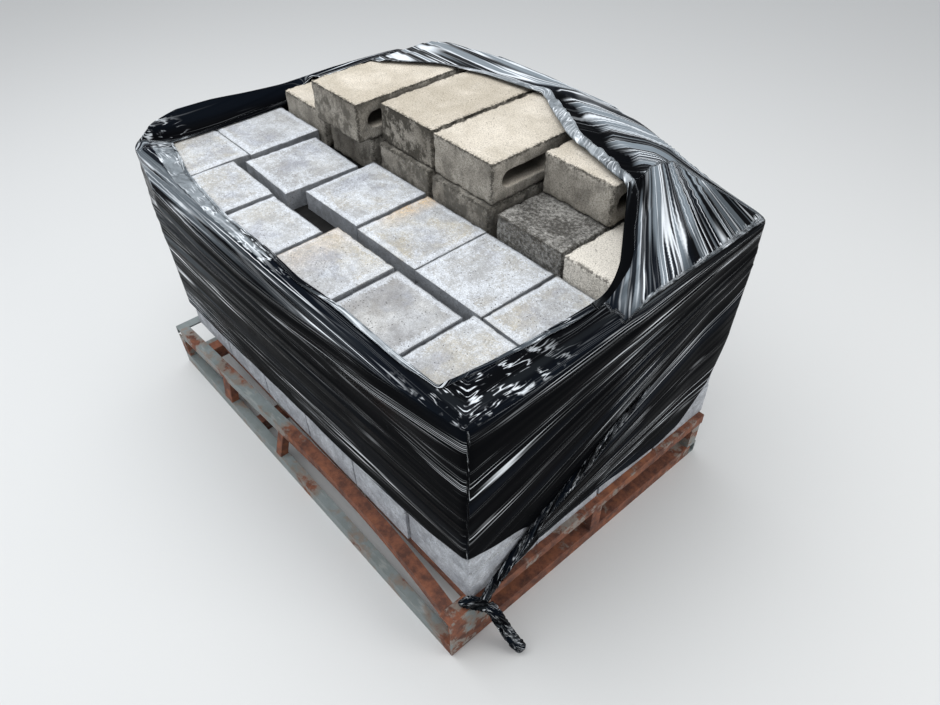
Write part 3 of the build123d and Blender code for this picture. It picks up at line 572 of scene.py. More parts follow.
def paver(settings, place, turn, cuts, tone, seed, marks=None):
    """One bevelled paver as a rough cast form on a place, with its tone kept on its points."""
    side, thick = settings.side, settings.thickness
    select_only()
    bpy.ops.mesh.primitive_cube_add(size=1.0)
    piece = bpy.context.active_object
    bpy.ops.object.mode_set(mode="EDIT")
    bpy.ops.mesh.subdivide(number_cuts=cuts)
    bpy.ops.object.mode_set(mode="OBJECT")
    rotate = Matrix.Rotation(math.radians(turn), 3, "Z")
    middle = Vector((place[0], place[1], place[2] + thick / 2))
    rims = []
    for vertex in piece.data.vertices:
        local = vertex.co * 2.0
        spread = [math.copysign(1.0 - (1.0 - abs(v)) ** EDGE_CROWDING, v) for v in local]
        flat = Vector((spread[0] * side / 2, spread[1] * side / 2, local.z * thick / 2))
        edge_x, edge_y = side / 2 - abs(flat.x), side / 2 - abs(flat.y)
        edge = min(edge_x, edge_y)
        if local.z > 0.999:
            flat.z -= max(0.0, 1.0 - edge / settings.bevel) * settings.bevel * 0.5
        sample = Vector((flat.x + seed * 3.1, flat.y - seed * 1.7, flat.z))
        rough = noise.noise(sample * 22.0) * 0.0012 + noise.noise(sample * 90.0) * 0.0005
        arris = max(0.0, 1.0 - edge / ARRIS_WIDTH) if local.z > 0.9 else 0.0
        if max(edge_x, edge_y) < CORNER_WIDTH:
            arris = max(arris, 0.6)
        chip = max(0.0, noise.noise(sample * 60.0) - 0.25) * CHIP_DEPTH * arris
        pull = Vector((flat.x, flat.y, 0.0)).normalized() * (chip + abs(rough) * 0.6)
        flat.z += rough * 0.6 * (1.0 if local.z > 0 else 0.0) - chip * 0.7
        if edge < 0.002:
            flat -= pull
        rim = max(0.0, 1.0 - edge / RIM_WIDTH)
        mark = marks(flat.x / side + 0.5, flat.y / side + 0.5) if marks else 0.0
        on_side = 1.0 if local.z < 0.93 else 0.0
        rims.append((rim, mark, on_side))
        vertex.co = rotate @ flat + middle
    keep_colour(piece.data, "paver_rim", rims)
    keep_colour(piece.data, "paver_tone", [tone] * len(rims))
    return piece


def ochre_band(u, v):
    """An ochre band along the back part of a paver's left edge."""
    return min(1.0, max(0.0, 1.4 - u / 0.2)) * min(1.0, max(0.0, v * 2.2 - 0.4))


def front_band(u, v):
    """An ochre band along a paver's front edge."""
    return 0.8 * max(0.0, 1.0 - v / 0.22)


def faint_band(u, v):
    """A fainter stain over a paver's left half."""
    return 0.4 * max(0.0, 1.0 - u / 0.6)


def stain_ring(u, v):
    """The pale edge of an oval stain, a negative mark."""
    away = math.hypot((u - 0.62) / 0.27, (v - 0.6) / 0.24)
    return -0.8 * max(0.0, 1.0 - abs(away - 1.0) / 0.2)


# The marks on single pavers, by node and place in the row
MARKS = {
    "top_pavers_front_row": {0: front_band, 3: faint_band},
    "top_pavers_second_row": {2: stain_ring, 3: ochre_band},
}


class PaverSettings(bpy.types.PropertyGroup):
    side: length_value("Side", "Length of a paver's side", 0.2)
    thickness: length_value("Thickness", "Thickness of a paver", 0.05)
    bevel: length_value("Bevel", "Width of the bevel", 0.008)
    colour: colour_value("Concrete", "Lighter concrete", (0.68, 0.69, 0.695))
    shade: colour_value("Shade", "Darker concrete", (0.47, 0.475, 0.48))
    bloom: colour_value("Bloom", "Lime bloom", (0.76, 0.80, 0.855))
    stain: colour_value("Stain", "Buff stain", (0.52, 0.45, 0.31))


class PALLET_OT_top_pavers(bpy.types.Operator):
    """Make the loose pavers of the open top layer"""

    bl_idname = "pallet.top_pavers"
    bl_label = "Top pavers"

    def execute(self, context):
        settings = context.scene.pallet_pavers
        # Dark blue-grey sides for the loose pavers: painted shade in the gaps between them.
        material = paver_concrete(settings, "stained_pavers", (0.19, 0.205, 0.23), (0.34, 0.365, 0.40))
        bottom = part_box("top_pavers_front_row")[0].z
        for row, node in ((FRONT_ROW, "top_pavers_front_row"), (SECOND_ROW, "top_pavers_second_row")):
            made = []
            for index, (x, y, turn, *tone) in enumerate(row):
                seed = index + (10 if row is SECOND_ROW else 0)
                place = (x * MM, y * MM, bottom)
                made.append(paver(settings, place, turn, TOP_CUTS, tone, seed, MARKS[node].get(index)))
            piece = joined(made)
            finish_piece(piece, node.replace("top_", "loose_"), "paver_concrete", material, node)
            shade_smooth(piece, 35)
        return {"FINISHED"}


class PALLET_OT_lower_pavers(bpy.types.Operator):
    """Make the pavers that show below the wrap, layer by layer"""

    bl_idname = "pallet.lower_pavers"
    bl_label = "Lower pavers"

    def execute(self, context):
        settings = context.scene.pallet_pavers
        # Bluish grey sides for the stacked pavers: painted shade.
        material = paver_concrete(settings, "stacked_pavers", (0.34, 0.36, 0.40), (0.66, 0.69, 0.74))
        for layer in range(4):
            node = f"paver_layer_{layer + 1}"
            low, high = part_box(node)
            last_column, last_line = LAYER_COLUMNS - 1, LAYER_LINES - 1
            pitch_x = (high.x - low.x - settings.side) / last_column
            pitch_y = (high.y - low.y - settings.side) / last_line
            made = []
            for column in range(LAYER_COLUMNS):
                for line in range(LAYER_LINES):
                    if 0 < column < last_column and 0 < line < last_line:
                        continue  # hidden by the others
                    x = low.x + settings.side / 2 + column * pitch_x
                    y = low.y + settings.side / 2 + line * pitch_y
                    if (column, line) == (last_column, 0):
                        y += CORNER_SHIFT * MM
                    seed = layer * 31 + column * 5 + line
                    tone = (0.3, 0.75, 0.2 + 0.2 * ((seed * 7) % 3))
                    made.append(paver(settings, (x, y, low.z), 0.0, LOWER_CUTS, tone, seed))
            piece = joined(made)
            finish_piece(piece, f"pavers_of_layer_{layer + 1}", "paver_concrete", material, node)
            shade_smooth(piece, 35)
        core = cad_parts["paver_stack_core"]
        core.data.materials.clear()
        core.data.materials.append(shaded_concrete())
        return {"FINISHED"}


# Blocks

# How stained, dark and pale each block is; the paleness of hollow_block_lower_6 is painted light on its top, where
# the film's hem shades it
BLOCK_TONES = {
    "hollow_block_lower_1": (0.5, 0.0, 0.12),
    "hollow_block_lower_2": (0.8, 0.1, 0.0),
    "hollow_block_lower_3": (0.9, 0.1, 0.0),
    "hollow_block_lower_4": (0.95, 0.15, 0.0),
    "hollow_block_lower_5": (0.9, 1.0, 0.0),
    "hollow_block_lower_6": (0.5, 0.0, 0.9),
    "hollow_block_upper_left": (0.9, 0.0, 0.06),
    "hollow_block_upper_middle": (1.25, 0.05, 0.0),
    "hollow_block_upper_right": (0.7, 0.0, 0.2),
    "half_block": (0.6, 0.0, 0.14),
}

# Blocks whose tops are hidden but for a narrow ledge, which is painted in shade
COVERED = ("hollow_block_lower_2", "hollow_block_lower_3", "hollow_block_lower_4")
ARRIS_FADE, SAND_DEPTH = 0.007, 0.0009
SKIN_REACH = 0.0035  # how near a block's box its outer skin lies
HIDDEN_EDGE = 0.014  # how worn the upper left block's edge is where the film is drawn over it


class BlockSettings(bpy.types.PropertyGroup):
    grain: length_value("Mesh size", "Size of the mesh cells of the rough skin", 0.0048)
    chip: length_value("Chips", "Depth of the chips along the arrises", 0.007)
    colour: colour_value("Sand", "Lighter sandy concrete", (0.70, 0.63, 0.53))
    shade: colour_value("Shade", "Darker sandy concrete", (0.52, 0.46, 0.37))
    mould: colour_value("Mould", "Dark stain on the sides", (0.042, 0.038, 0.031))


def rough_block(node, settings, seed):
    """A copy of a block's form, remeshed fine and roughened, with chipped arrises."""
    low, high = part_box(node)
    piece = bpy.data.objects.new(node + "_form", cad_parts[node].data.copy())
    bpy.context.scene.collection.objects.link(piece)
    form = bmesh.new()
    form.from_mesh(piece.data)
    bmesh.ops.remove_doubles(form, verts=form.verts, dist=1e-5)
    form.to_mesh(piece.data)
    form.free()
    select_only(piece)
    remesh = piece.modifiers.new("cells", "REMESH")
    remesh.mode = "VOXEL"
    remesh.voxel_size = settings.grain
    bpy.ops.object.modifier_apply(modifier=remesh.name)
    shift = Vector((seed * 1.31, -seed * 0.77, seed * 0.43))
    middle_y = (low.y + high.y) / 2
    places = [vertex.co.copy() for vertex in piece.data.vertices]
    normals = [vertex.normal.copy() for vertex in piece.data.vertices]
    roughened, worn = [], []
    for place, normal in zip(places, normals):
        away = sorted(min(place[axis] - low[axis], high[axis] - place[axis]) for axis in range(3))
        arris = math.exp(-max(away[1], 0.0) / ARRIS_FADE)
        # Kept: arris, painted shade inside the cores, and whether the block's ledge is painted in shade.
        worn.append((arris, between(away[0], 0.006, 0.03), float(node in COVERED)))
        sample = place + shift
        sand = noise.noise(sample * 160.0) * SAND_DEPTH + noise.noise(sample * 30.0) * SAND_DEPTH
        chips = max(0.0, noise.noise(sample * 55.0) + 0.12) * settings.chip * arris
        if away[0] < SKIN_REACH:
            sand -= chips + arris * 0.0012 + 0.0004
        cut = 0.0
        if node == "hollow_block_upper_left":
            from_edge = place.x - low.x + high.z - place.z
            worn_by = between(place.y, 0.19, 0.215)
            worn_by += 0.8 * between(place.y, high.y - 0.035, high.y - 0.012)
            cut = max(0.0, HIDDEN_EDGE * worn_by - from_edge) / 2
        roughened.extend(place + normal * sand + Vector((cut, 0.0, -cut)))
    piece.data.vertices.foreach_set("co", roughened)
    stained, dark, pale = BLOCK_TONES[node]
    tones = []
    for vertex in piece.data.vertices:
        line = 0.2 if node == "hollow_block_upper_left" and vertex.co.y > middle_y + 0.055 else 0.0
        tones.append((stained, dark, min(1.0, pale + line)))
    keep_colour(piece.data, "block_tone", tones)
    keep_colour(piece.data, "block_arris_and_shade", worn)
    return piece


class PALLET_OT_hollow_blocks(bpy.types.Operator):
    """Make the rough hollow blocks on the back of the load"""

    bl_idname = "pallet.hollow_blocks"
    bl_label = "Hollow blocks"

    def execute(self, context):
        settings = context.scene.pallet_blocks
        material = block_concrete(settings)
        for seed, node in enumerate(BLOCK_TONES):
            piece = rough_block(node, settings, seed + 1)
            finish_piece(piece, "rough_" + node, "block_concrete", material, node)
            shade_smooth(piece, 60)
        return {"FINISHED"}


# Stretch film


class FilmSettings(bpy.types.PropertyGroup):
    pleat: length_value("Pleats", "Height of the pleats", 0.003)
    crease: length_value("Creases", "Depth of the fine creases", 0.0007)
    gap: length_value("Clearance", "Least gap from the blocks and pavers", 0.0035)
    shine: plain_value("Shine", "Specular level of the walls", 0.004)
    sky_shine: plain_value("Top shine", "Specular level added where the film faces up", 0.3)
    colour: colour_value("Film", "Tight film", (0.003, 0.0033, 0.004))
    # Broad bluish bands of painted sheen.
    satin_sheen_colour: colour_value("Satin", "Broad bluish bands", (0.0045, 0.0066, 0.0105))
    # Slack film tones: painted reflection of the sky, lighter and darker by facet as painted shading.
    slack_sheen_colour: colour_value("Slack film", "Slack single film", (0.275, 0.305, 0.328))
    slack_shade: colour_value("Slack shade", "Slack film turned away", (0.085, 0.097, 0.107))
    # Painted reflection of the sky on film that faces up.
    sheen_colour: colour_value("Sheen", "Film that faces the sky", (0.165, 0.195, 0.22))
    # Painted highlights along the pleats.
    streak_highlight_colour: colour_value("Streaks", "Painted highlights along the pleats", (0.86, 0.90, 0.94))


def wrap_columns():
    """The side, profile points, hem, slackness and fold of every mesh column, evenly spaced."""
    stations = FRONT_WRAP + LEFT_WRAP + BACK_WRAP + RIGHT_WRAP
    sides = ["front"] * len(FRONT_WRAP) + ["left"] * len(LEFT_WRAP)
    sides += ["back"] * len(BACK_WRAP) + ["right"] * len(RIGHT_WRAP)
    points = [[Vector(point) * MM for point in station[:5]] for station in stations]
    count = len(points)
    lengths = []
    for index in range(count):
        after = points[(index + 1) % count]
        lengths.append((after[1] - points[index][1]).length)
    total = sum(lengths)
    columns = []
    for column in range(WRAP_COLUMNS):
        reach = total * column / WRAP_COLUMNS
        index = 0
        while reach > lengths[index]:
            reach -= lengths[index]
            index += 1
        share = reach / lengths[index]
        here, after = points[index], points[(index + 1) % count]
        profile = [a.lerp(b, share) for a, b in zip(here, after)]
        here, after = stations[index][5:], stations[(index + 1) % count][5:]
        looks = [a + (b - a) * share for a, b in zip(here, after)]
        columns.append((sides[index], profile, *looks))
    return columns


def smooth_grid(grid, rounds, along_rows):
    """Ease a grid of points, round the columns or along the rows."""
    wide, tall = len(grid), len(grid[0])
    for _ in range(rounds):
        if along_rows:
            grid = [[column[0]] + [
                column[r] * 0.5 + (column[r - 1] + column[r + 1]) * 0.25 for r in range(1, tall - 1)
            ] + [column[-1]] for column in grid]
        else:
            grid = [[
                grid[c][r] * 0.5 + (grid[c - 1][r] + grid[(c + 1) % wide][r]) * 0.25 for r in range(tall)
            ] for c in range(wide)]
    return grid


def right_pleat(y, z):
    """Which pleat of the right side a point is on: 0 on the rope, up to 1 at the rim, down to -1."""
    share = min(1.05, max(0.0, (y - KNOT_POINT[0] * MM) / RIGHT_LENGTH))
    rope = ROPE_LOW + ROPE_RISE * share
    if z >= rope:
        return (z - rope) / (RIM_OVER_ROPE - RIM_SINK * share)
    return (z - rope) / max(0.03, rope - KNOT_POINT[1] * MM)


def pleat_line(side, point):
    """The pleat coordinate across the folds and the distance along them."""
    if side == "right":
        across = right_pleat(point.y, point.z)
        return across * (0.5 if across > 0 else 0.3), point.y
    if side == "front":
        reach = max(0.0, point.x - STACK_LEFT) / FRONT_LENGTH
        low = FRONT_FOOT + FRONT_FOOT_RISE * reach ** 1.6
        return (point.z - low) / (STACK_TOP - low) * 0.46, point.x
    across = (point.z - 0.2) * 0.9
    return (across, point.y + 3.0) if side == "left" else (across, point.x + 5.0)


def tent_line(side, point):
    """The same on top: folds from the back corner, from the tent's point, or along the nearest side."""
    if side == "right" and point.y > 0.0:
        spread = math.atan2(point.y - TENT_POINT.y - 0.03, point.x - TENT_POINT.x + 0.1)
        return spread * 0.30, (point - TENT_POINT).length + 2.0
    if side == "back":
        spread = math.atan2(BACK_CORNER.y + 0.04 - point.y, BACK_CORNER.x + 0.1 - max(point.x, -0.1))
        return spread * 0.42, (point - BACK_CORNER).length + 4.0
    if side == "left":
        return point.x * 0.5 + point.z * 0.9, point.y + 3.0
    reaches = {
        "front": point.y - STACK_FRONT, "right": STACK_RIGHT - point.x,
        "back": STACK_BACK - point.y, "left": point.x - STACK_LEFT,
    }
    # How far round the load the point is, carried on from side to side
    runs = {"front": point.x, "right": 0.24 - point.y, "back": 0.412 - point.x, "left": 0.577 + point.y}
    near = min(reaches, key=reaches.get)
    return reaches[near] + point.z * 0.7, runs[near]


def hem_points(column, rise, width, seed):
    """The folded hem: the film's edge turns up and lies back over itself as a flat strip."""
    edge = column[-1]
    inward = (edge - column[-4]).normalized()
    bend = min(HEM_BEND, width * 0.3)
    points = []
    for step in range(1, HEM_ROWS + 1):
        turn = math.radians(min(180.0, 60.0 * step))
        back = max(0, step - 3) / (HEM_ROWS - 3)
        wave = ripple(seed * 2.4, back * 1.2, 5.0) * width * 0.22 * back
        uneven = 1.0 + 0.3 * ripple(seed * 1.3, 9.0, 0.0)
        reach = bend * math.sin(turn) - 2.0 * width * back * uneven
        height = bend * (1.0 - math.cos(turn)) * (1.0 - 0.35 * back) + wave
        points.append(edge + inward * reach + rise * height)
    return points


def paver_boxes():
    """The low and high corners of each loose paver at the front."""
    low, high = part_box("top_pavers_front_row")
    corners = []
    for x, y, *_ in FRONT_ROW:
        near = Vector(((x - PAVER_REACH) * MM, (y - PAVER_REACH) * MM, low.z))
        far = Vector(((x + PAVER_REACH) * MM, (y + PAVER_REACH) * MM, high.z))
        corners.append((near, far))
    return corners


def clear_of(point, boxes, gap):
    """Move a point that lies in or too near a box out through the box's nearest face."""
    for low, high in boxes:
        if all(low[axis] - gap < point[axis] < high[axis] + gap for axis in range(3)):
            moves = [(high[axis] + gap - point[axis], axis, 1) for axis in range(3)]
            moves += [(point[axis] - low[axis] + gap, axis, -1) for axis in range(2)]
            depth, axis, sign = min(moves)
            point = point.copy()
            point[axis] += depth * sign
    return point


def fold_height(across, along):
    """Pleats on a wall: sharp-backed folds of two widths that run on and die out."""
    wide = ripple(across * 24.0, along * 1.1, 1.0)
    middle = ripple(across * 56.0, along * 1.8, 7.0)
    drawn = between(ripple(across * 6.5, along * 1.0, 33.0), -0.22, 0.2)
    return (ridge(wide) * 0.9 + ridge(middle) * 0.4) * (0.12 + 0.88 * drawn) - 0.4


def top_fold_height(across, along, point, pale):
    """Folds on top: pleats where the film is drawn, crumples where it is slack."""
    wide = ripple(across * 30.0, along * 1.6, 21.0)
    narrow = ripple(across * 66.0, along * 2.6, 27.0)
    crumple = ridge(noise.noise(point * 30.0)) + 0.6 * ridge(noise.noise(point * 62.0)) - 0.8
    drawn = ridge(wide) * 1.0 + ridge(narrow) * 0.5 - 0.5
    return drawn * (1.0 - 0.6 * pale) + crumple * (0.05 + 0.8 * pale)


def sky_sheen(side, point):
    """How much painted sky sheen the film gets on top: on the tent alone."""
    if side == "back":
        return between(point.x, -0.52, -0.38)
    return between(point.y, 0.0, 0.06) if side == "right" else 0.0


def highlight_streak_density(side, point, wall):
    """How crowded the painted highlight streaks are: most at the front's left end and on the tent."""
    if wall < 0.5:
        return 0.9 if point.y > 0.0 and side != "left" else 0.4
    if side == "front":
        left = between(-point.x, -0.15, 0.45)
        below_rim = between(point.z, 0.58, 0.66) * between(-point.x, -0.3, 0.0)
        low_edge = between(-point.z, -0.36, -0.27)
        return 0.08 + 0.5 * left + 0.4 * max(below_rim, low_edge)
    return 0.16 + 0.25 * between(-point.z, -0.5, -0.2)


def film_fan():
    """The patch of film that fans out from the knot below the rope."""
    points, lines = [], []
    columns, rows = FAN_COLUMNS, FAN_ROWS
    stations = [Vector(station) * MM for station in FAN]
    for c in range(columns + 1):
        reach = c / columns * (len(stations) - 1)
        index = min(int(reach), len(stations) - 2)
        y, low, high = stations[index].lerp(stations[index + 1], reach - index)
        for r in range(rows + 1):
            share = r / rows
            fold = ridge(ripple(share * 5.0, y * 3.0, 40.0)) * 0.0016 * min(1.0, c / 12.0)
            x = FAN_X + 0.003 * (1.0 - c / columns) + fold - 0.006 * between(c, columns - 14, columns)
            points.append((x, y, low + (high - low) * share))
            lines.append((y, share * 0.16))
    piece = mesh_piece("film_fan", points, grid_faces(columns + 1, rows + 1, False))
    # The fan: a little slack, no painted sheen, crowded painted highlight streaks.
    keep_colour(piece.data, "film_slack_and_sheen", [(0.1, 0.0, 0.8)] * len(points))
    keep_lines(piece.data, lines)
    return piece


def keep_lines(mesh, lines):
    """Keep the run of the pleats as a texture layout."""
    layer = mesh.uv_layers.new(name="pleats")
    for loop in mesh.loops:
        layer.data[loop.index].uv = lines[loop.vertex_index]


def wrap_grid(columns):
    """The wrap as a grid of points: each column's profile in even rows, eased both ways."""
    grid = []
    for _, profile, *_ in columns:
        rows = [profile[0]]
        for part, (start, end, count) in enumerate(zip(profile, profile[1:], PROFILE_ROWS)):
            for step in range(count):
                share = (step + 1) / count
                place = start.lerp(end, between(share, 0.0, 0.58) if part == 1 else share)
                place.z = start.z + (end.z - start.z) * share
                rows.append(place)
        grid.append(rows)
    return smooth_grid(smooth_grid(grid, 3, False), 2, True)


def top_areas(side, point):
    """Whether a point on top is in the smooth back corner, and in the gathers of the right side."""
    smooth = gathers = 0.0
    if side in ("right", "back"):
        smooth = between(0.5 * (point.y - 0.12) - (BACK_CORNER.x - point.x), 0.0, 0.02)
    if side == "right":
        gathers = between(point.y, 0.0, 0.05) * between(-point.y, -0.2, -0.12)
    return smooth, gathers


def film_tones(side, point, row, wall, run, pale, dark):
    """How slack the film is at a point of the grid, how much painted sky sheen it gets and how crowded its painted
    highlight streaks are.
    """
    smooth, gathers = top_areas(side, point)
    # tent is the share of painted sky sheen: on the tent and a little on the front margin's outer band, less in
    # the smooth back corner, more in the gathers, none in the slot behind a wide hem.
    band, tent = 1.0, sky_sheen(side, point)
    if side == "front":
        band = max(between(run, 0.1, 0.22), between(point.x, 0.2, 0.4))
        tent = max(tent, (1.0 - band) * (0.08 + 0.4 * between(-point.x, 0.0, 0.3)))
    tent *= (1.0 - dark) * (1.0 - 0.62 * smooth) * (1.0 + 0.2 * gathers)
    slack = pale * (1.0 - wall) * band * (1.0 - dark)
    # A serrated painted highlight along the rim of the right side.
    if side == "right" and RIM_ROW <= row <= RIM_ROW + 1 and point.y > 0.03:
        slack = 0.5 + 0.5 * ripple(point.y * 90.0, row * 3.0, 60.0)
    crowd = highlight_streak_density(side, point, wall) * (1.0 - dark) * (1.0 - 0.8 * smooth)
    return slack, tent, crowd + 0.3 * gathers


class PALLET_OT_stretch_film(bpy.types.Operator):
    """Make the wrap, pleated round the load and open over the front rows"""

    bl_idname = "pallet.stretch_film"
    bl_label = "Stretch film"

    def execute(self, context):
        settings = context.scene.pallet_film
        material = wrap_film(settings)
        columns = wrap_columns()
        boxes = [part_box(node) for node in BLOCK_TONES] + paver_boxes()
        low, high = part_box("hollow_block_upper_left")
        boxes.append((low - Vector((END_CLEARANCE, 0.0, 0.0)), high))
        grid = wrap_grid(columns)
        wide, flat_rows = len(grid), len(grid[0])
        tall = flat_rows + HEM_ROWS
        points, tones, lines = [], [], []
        for c in range(wide):
            side, _, hem, pale, fold = columns[c]
            lip = between(hem, 8.0, 11.0)
            slot = 0.55 + 0.14 * ripple(c * 0.09, 0.0, 50.0)
            before, after = grid[c - 1], grid[(c + 1) % wide]
            for r in range(flat_rows):
                point = grid[c][r]
                up = grid[c][min(r + 1, flat_rows - 1)] - grid[c][max(r - 1, 0)]
                normal = up.cross(after[r] - before[r]).normalized()
                wall = 1.0 - between(r, RIM_ROW - 3, RIM_ROW + 5)
                run = max(0.0, (r - TOP_ROW) / PROFILE_ROWS[3])
                across, along = pleat_line(side, point)
                top_across, top_along = tent_line(side, point)
                lines.append((along, across) if wall > 0.5 else (top_along, top_across))
                smooth, gathers = top_areas(side, point)
                calm = min(1.0, (point - BACK_CORNER).length / 0.22)
                top_height = top_fold_height(top_across, top_along, point, pale) * calm
                top_height *= (0.8 + hem * 0.09) * (1.0 - 0.7 * smooth) * (1.0 + 0.5 * gathers)
                height = fold_height(across, along) * 0.6 * wall + top_height * (1.0 - wall)
                height *= settings.pleat * (0.4 + 0.6 * min(1.0, r / 4.0)) * (1.0 - 0.6 * run)
                raised = lip * between(-run, -slot - 0.12, -slot) * between(run, 0.0, 0.3)
                moved = point + normal * height + Vector((0.0, 0.0, LIP_RISE * raised))
                if r < TORN_ROWS:
                    tear = ripple(along * 9.0, 0.0, 3.0) * TEAR_DEPTH
                    moved.z += tear * (TORN_ROWS - r) / TORN_ROWS
                points.append(clear_of(moved, boxes, settings.gap))
                # In the slot behind a wide hem the painted sheen, paleness and streaks are taken away, leaving it
                # black as painted shade.
                dark = lip * between(run, slot, slot + 0.1) * between(fold, 0.0, 0.4)
                tones.append(film_tones(side, point, r, wall, run, pale, dark))
            rise = up.cross(after[r] - before[r]).normalized()
            for moved in hem_points(points[-4:], rise, hem * MM, c * 0.05):
                points.append(clear_of(moved, boxes, settings.gap))
                # The hem's fold: paler and sheened as painted light.
                tones.append((fold * 0.85, fold * 0.5, 0.2))
                lines.append((top_along, top_across + 0.003 * (len(points) % tall)))
        piece = mesh_piece("pleated_film", points, grid_faces(wide, tall, True))
        keep_colour(piece.data, "film_slack_and_sheen", tones)
        keep_lines(piece.data, lines)
        flip_outward(piece)
        piece = joined([piece, film_fan()])
        finish_piece(piece, "pleated_film", "wrap_film", material, "stretch_film")
        smooth_faces(piece)
        return {"FINISHED"}


def flip_outward(piece):
    """Turn the faces so that the wall on the right side faces +X."""
    for face in piece.data.polygons:
        if face.center.x > 0.6 and 0.35 < face.center.z < 0.6 and abs(face.center.y) < 0.2:
            if face.normal.x < 0:
                piece.data.flip_normals()
            return


# Rope, knot and tail


def route_line(route, name):
    """Even points along the smooth line that a route's points control."""
    curve = bpy.data.curves.new(name, "CURVE")
    curve.dimensions = "3D"
    spline = curve.splines.new("NURBS")
    spline.points.add(len(route) - 1)
    for point, place in zip(spline.points, route):
        point.co = (place[0] * MM, place[1] * MM, place[2] * MM, 1.0)
    spline.order_u = 3
    spline.use_endpoint_u = True
    spline.resolution_u = 12
    holder = bpy.data.objects.new(name, curve)
    bpy.context.scene.collection.objects.link(holder)
    mesh = bpy.data.meshes.new_from_object(holder)
    line = [vertex.co.copy() for vertex in mesh.vertices]
    bpy.data.objects.remove(holder)
    bpy.data.curves.remove(curve)
    bpy.data.meshes.remove(mesh)
    return line


def spaced(line, gap):
    """The same line as points a fixed gap apart."""
    made, carry = [line[0]], 0.0
    for start, end in zip(line, line[1:]):
        run = (end - start).length
        while carry + run >= gap:
            start = start.lerp(end, (gap - carry) / run)
            run = (end - start).length
            made.append(start.copy())
            carry = 0.0
        carry += run
    return made


def crumpled_tube(name, line, radius, twist, lump, tapers, seed):
    """A flattened tube of gathered film round a line, with winding folds, lumps and tapered ends."""
    ring = TUBE_SPOKES
    points, lines, faces, frames = [], [], [], []
    side = Vector((0.0, 0.0, 1.0)).cross(line[1] - line[0]).normalized()
    for index, place in enumerate(line):
        forward = (line[min(index + 1, len(line) - 1)] - line[max(index - 1, 0)]).normalized()
        side = (side - forward * side.dot(forward)).normalized()
        frames.append((place, side, forward.cross(side)))
    travelled = 0.0
    for index, (place, side, up) in enumerate(frames):
        if index:
            travelled += (place - frames[index - 1][0]).length
        share = index / (len(frames) - 1)
        end = math.sqrt(min(1.0, (share + 0.01) / tapers[0]) * min(1.0, (1.01 - share) / tapers[1]))
        for spoke in range(ring):
            angle = spoke / ring * math.tau
            wound = angle * 3.0 + travelled * twist
            across = Vector((math.cos(angle), math.sin(angle), travelled * 48.0 + seed))
            folds = 0.09 * math.sin(wound) + 0.06 * math.sin(wound * 2.3 + 1.0)
            lumps = noise.noise(across * 1.1) + 0.7 * (ridge(noise.noise(across * 2.7)) - 0.2)
            size = radius * end * min(1.12, max(0.6, 0.85 + folds + lump * lumps))
            point = place + (side * 1.12 * math.cos(angle) + up * 0.9 * math.sin(angle)) * size
            point.z = max(point.z, 0.0006)
            points.append(point)
            lines.append((travelled * 13.0, wound * 0.017))
    for index in range(len(frames) - 1):
        for spoke in range(ring):
            turned = (spoke + 1) % ring
            a, b = index * ring, (index + 1) * ring
            faces.append((a + spoke, a + turned, b + turned, b + spoke))
    faces.append(tuple(reversed(range(ring))))
    last = (len(frames) - 1) * ring
    faces.append(tuple(range(last, last + ring)))
    piece = mesh_piece(name, points, faces)
    # The tubes: no painted sheen, painted highlight streaks.
    keep_colour(piece.data, "film_slack_and_sheen", [(0.0, 0.0, 0.62)] * len(points))
    keep_lines(piece.data, lines)
    smooth_faces(piece)
    return piece


class TieSettings(bpy.types.PropertyGroup):
    rope: length_value("Rope", "Radius of the gathered film rope", 0.0095)
    tail: length_value("Tail", "Radius of the loose tail", 0.0125)


class PALLET_OT_film_tie(bpy.types.Operator):
    """Make the rope of gathered film, its knot and its loose tail"""

    bl_idname = "pallet.film_tie"
    bl_label = "Rope, knot and tail"

    def execute(self, context):
        settings = context.scene.pallet_tie
        material = bpy.data.materials["creased_film"]

        def tied(name, node, route, gap, *form):
            """A crumpled tube in place of its CAD node, and the line that it follows."""
            line = spaced(route_line(route, node + "_route"), gap)
            piece = crumpled_tube(name, line, *form)
            finish_piece(piece, name, "wrap_film", material, node)
            return piece, line

        tied("film_rope_twist", "film_rope", ROPE_ROUTE, 0.0035,
             settings.rope, 55.0, 0.45, (0.45, 0.01), 1.0)
        tied("film_knot_wad", "film_knot", KNOT_ROUTE, 0.003,
             KNOT_RADIUS, 70.0, 0.7, (0.3, 0.15), 5.0)
        tail, tail_line = tied("film_tail_twist", "film_tail", TAIL_ROUTE, 0.003,
                               settings.tail, 60.0, 0.7, (0.05, 0.06), 9.0)
        return {"FINISHED"}


# Pallet


class SteelSettings(bpy.types.PropertyGroup):
    paint: colour_value("Paint", "Pale paint", (0.225, 0.257, 0.258))
    rust: colour_value("Rust", "Rust", (0.235, 0.084, 0.044))
    dark_rust: colour_value("Dark rust", "Old rust", (0.085, 0.034, 0.023))


# Nodes of the pallet that are mostly rust, and those in between
RUSTY = ("cross_bar", "runner", "right_end", "deck_bar", "middle_post", "left_post")
PATCHY = ("front_top_rail", "left_end_top")


